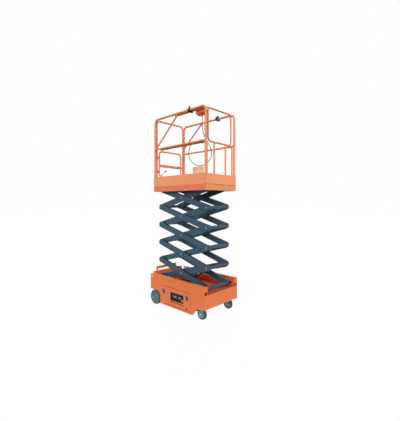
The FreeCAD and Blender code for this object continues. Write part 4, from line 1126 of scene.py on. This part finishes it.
def studio_floor(tone, glow_level):
    """A wide pale floor that keeps the object's shadow and shows nearly white to the camera."""
    pale = Shader("Studio floor")
    drift = pale.blend(pale.band(pale.noise(0.6), 0.3, 0.7), tone, shade(tone, 1.03))
    pale.finish(drift, None, 0.9)
    rays = pale.add("ShaderNodeLightPath")
    seen = pale.math("MAXIMUM", rays.outputs["Is Camera Ray"], rays.outputs["Is Glossy Ray"])
    share = pale.math("MULTIPLY", seen, 0.75)
    glow = pale.add("ShaderNodeEmission", {"Strength": glow_level})
    both = pale.add("ShaderNodeMixShader", {"Fac": share, 1: pale.surface.outputs["BSDF"],
                                            2: glow.outputs["Emission"]})
    pale.feed(both.outputs["Shader"], pale.output.inputs["Surface"])
    bm = bmesh.new()
    bmesh.ops.create_grid(bm, x_segments=4, y_segments=4, size=60.0)
    mesh = bpy.data.meshes.new("studio_floor")
    bm.to_mesh(mesh)
    bm.free()
    mesh.materials.append(pale.material)
    return bpy.data.objects.new("studio_floor", mesh)


def studio_world(sky_level):
    """Even light all round, and plain white behind the object and in its reflections."""
    world = bpy.data.worlds.new("Studio")
    world.use_nodes = True
    sky = NodeTree(world.node_tree)
    sky.tree.nodes.clear()
    rays = sky.add("ShaderNodeLightPath").outputs
    even = sky.add("ShaderNodeBackground", {"Color": (0.95, 0.97, 1.0), "Strength": sky_level})
    white = sky.add("ShaderNodeBackground", {"Color": (1.0, 1.0, 1.0), "Strength": 1.0})
    seen = sky.math("MAXIMUM", rays["Is Camera Ray"],
                    sky.math("MAXIMUM", rays["Is Glossy Ray"], rays["Is Transmission Ray"]))
    mix = sky.add("ShaderNodeMixShader", {"Fac": seen, 1: even.outputs["Background"],
                                          2: white.outputs["Background"]})
    sky.add("ShaderNodeOutputWorld", {"Surface": mix.outputs["Shader"]})
    return world


class LIFT_OT_stage(LiftOperator):
    """Pale floor, soft lamps and the camera at the photograph's place"""
    bl_idname = "lift.stage"
    bl_label = "Studio and camera"

    def execute(self, context):
        scene = context.scene
        sizes = scene.lift_sizes
        floor = studio_floor(scene.lift_colours.floor, sizes.floor_glow)
        scene.collection.objects.link(floor)
        scene.world = studio_world(sizes.sky_level)
        lamp_distance = 6.0
        for name, way, strength, spread in (
                ("lamp_key", (0.30, -0.85, 0.34), sizes.key_level, 25.0),
                ("lamp_front", (0.90, -0.15, 0.30), sizes.front_level, 40.0),
                ("lamp_back", (-0.70, 0.60, 0.60), sizes.back_level, 50.0)):
            light = bpy.data.lights.new(name, "SUN")
            light.energy = strength
            light.angle = math.radians(spread)
            lamp = bpy.data.objects.new(name, light)
            scene.collection.objects.link(lamp)
            lamp.location = Vector(way) * lamp_distance
            lamp.rotation_euler = (-Vector(way)).to_track_quat("-Z", "Y").to_euler()
        eye = bpy.data.cameras.new("photo_camera")
        eye.lens = sizes.lens
        eye.sensor_width = 36.0
        eye.shift_y = -0.0201
        eye.clip_end = 200.0
        camera = bpy.data.objects.new("photo_camera", eye)
        scene.collection.objects.link(camera)
        camera.location = (sizes.eye_out, -sizes.eye_side, sizes.eye_height)
        camera.rotation_euler = (math.radians(90.0), 0.0, sizes.eye_turn)
        scene.camera = camera
        scene.view_settings.view_transform = "Standard"
        return {"FINISHED"}


OPERATORS = (LIFT_OT_finishes, LIFT_OT_drive_wheels, LIFT_OT_castors, LIFT_OT_arm_pins, LIFT_OT_welds,
             LIFT_OT_body_fixings, LIFT_OT_latches, LIFT_OT_ground_controls, LIFT_OT_platform_controls,
             LIFT_OT_document_box, LIFT_OT_control_cable, LIFT_OT_gate_fittings, LIFT_OT_stage)


class LIFT_PT_sidebar(Panel):
    """Steps, sizes and colours of the scissor lift"""
    bl_label = "Scissor lift"
    bl_idname = "LIFT_PT_sidebar"
    bl_space_type = "VIEW_3D"
    bl_region_type = "UI"
    bl_category = "Lift"

    def draw(self, context):
        column = self.layout.column()
        for operator in OPERATORS:
            column.operator(operator.bl_idname)
        scene = context.scene
        for group, kind in ((scene.lift_sizes, LiftSizes), (scene.lift_colours, LiftColours)):
            part = self.layout.box().column()
            for key in kind.__annotations__:
                part.prop(group, key)


CLASSES = (LiftColours, LiftSizes, *OPERATORS, LIFT_PT_sidebar)


def register():
    for cls in CLASSES:
        bpy.utils.register_class(cls)
    bpy.types.Scene.lift_colours = PointerProperty(type=LiftColours)
    bpy.types.Scene.lift_sizes = PointerProperty(type=LiftSizes)


def unregister():
    del bpy.types.Scene.lift_sizes
    del bpy.types.Scene.lift_colours
    for cls in reversed(CLASSES):
        bpy.utils.unregister_class(cls)


def main():
    register()
    for operator in OPERATORS:
        result = getattr(bpy.ops.lift, operator.bl_idname.removeprefix("lift."))()
        if result != {"FINISHED"}:
            raise RuntimeError("%s did not finish" % operator.bl_idname)


if __name__ == "__main__":
    main()
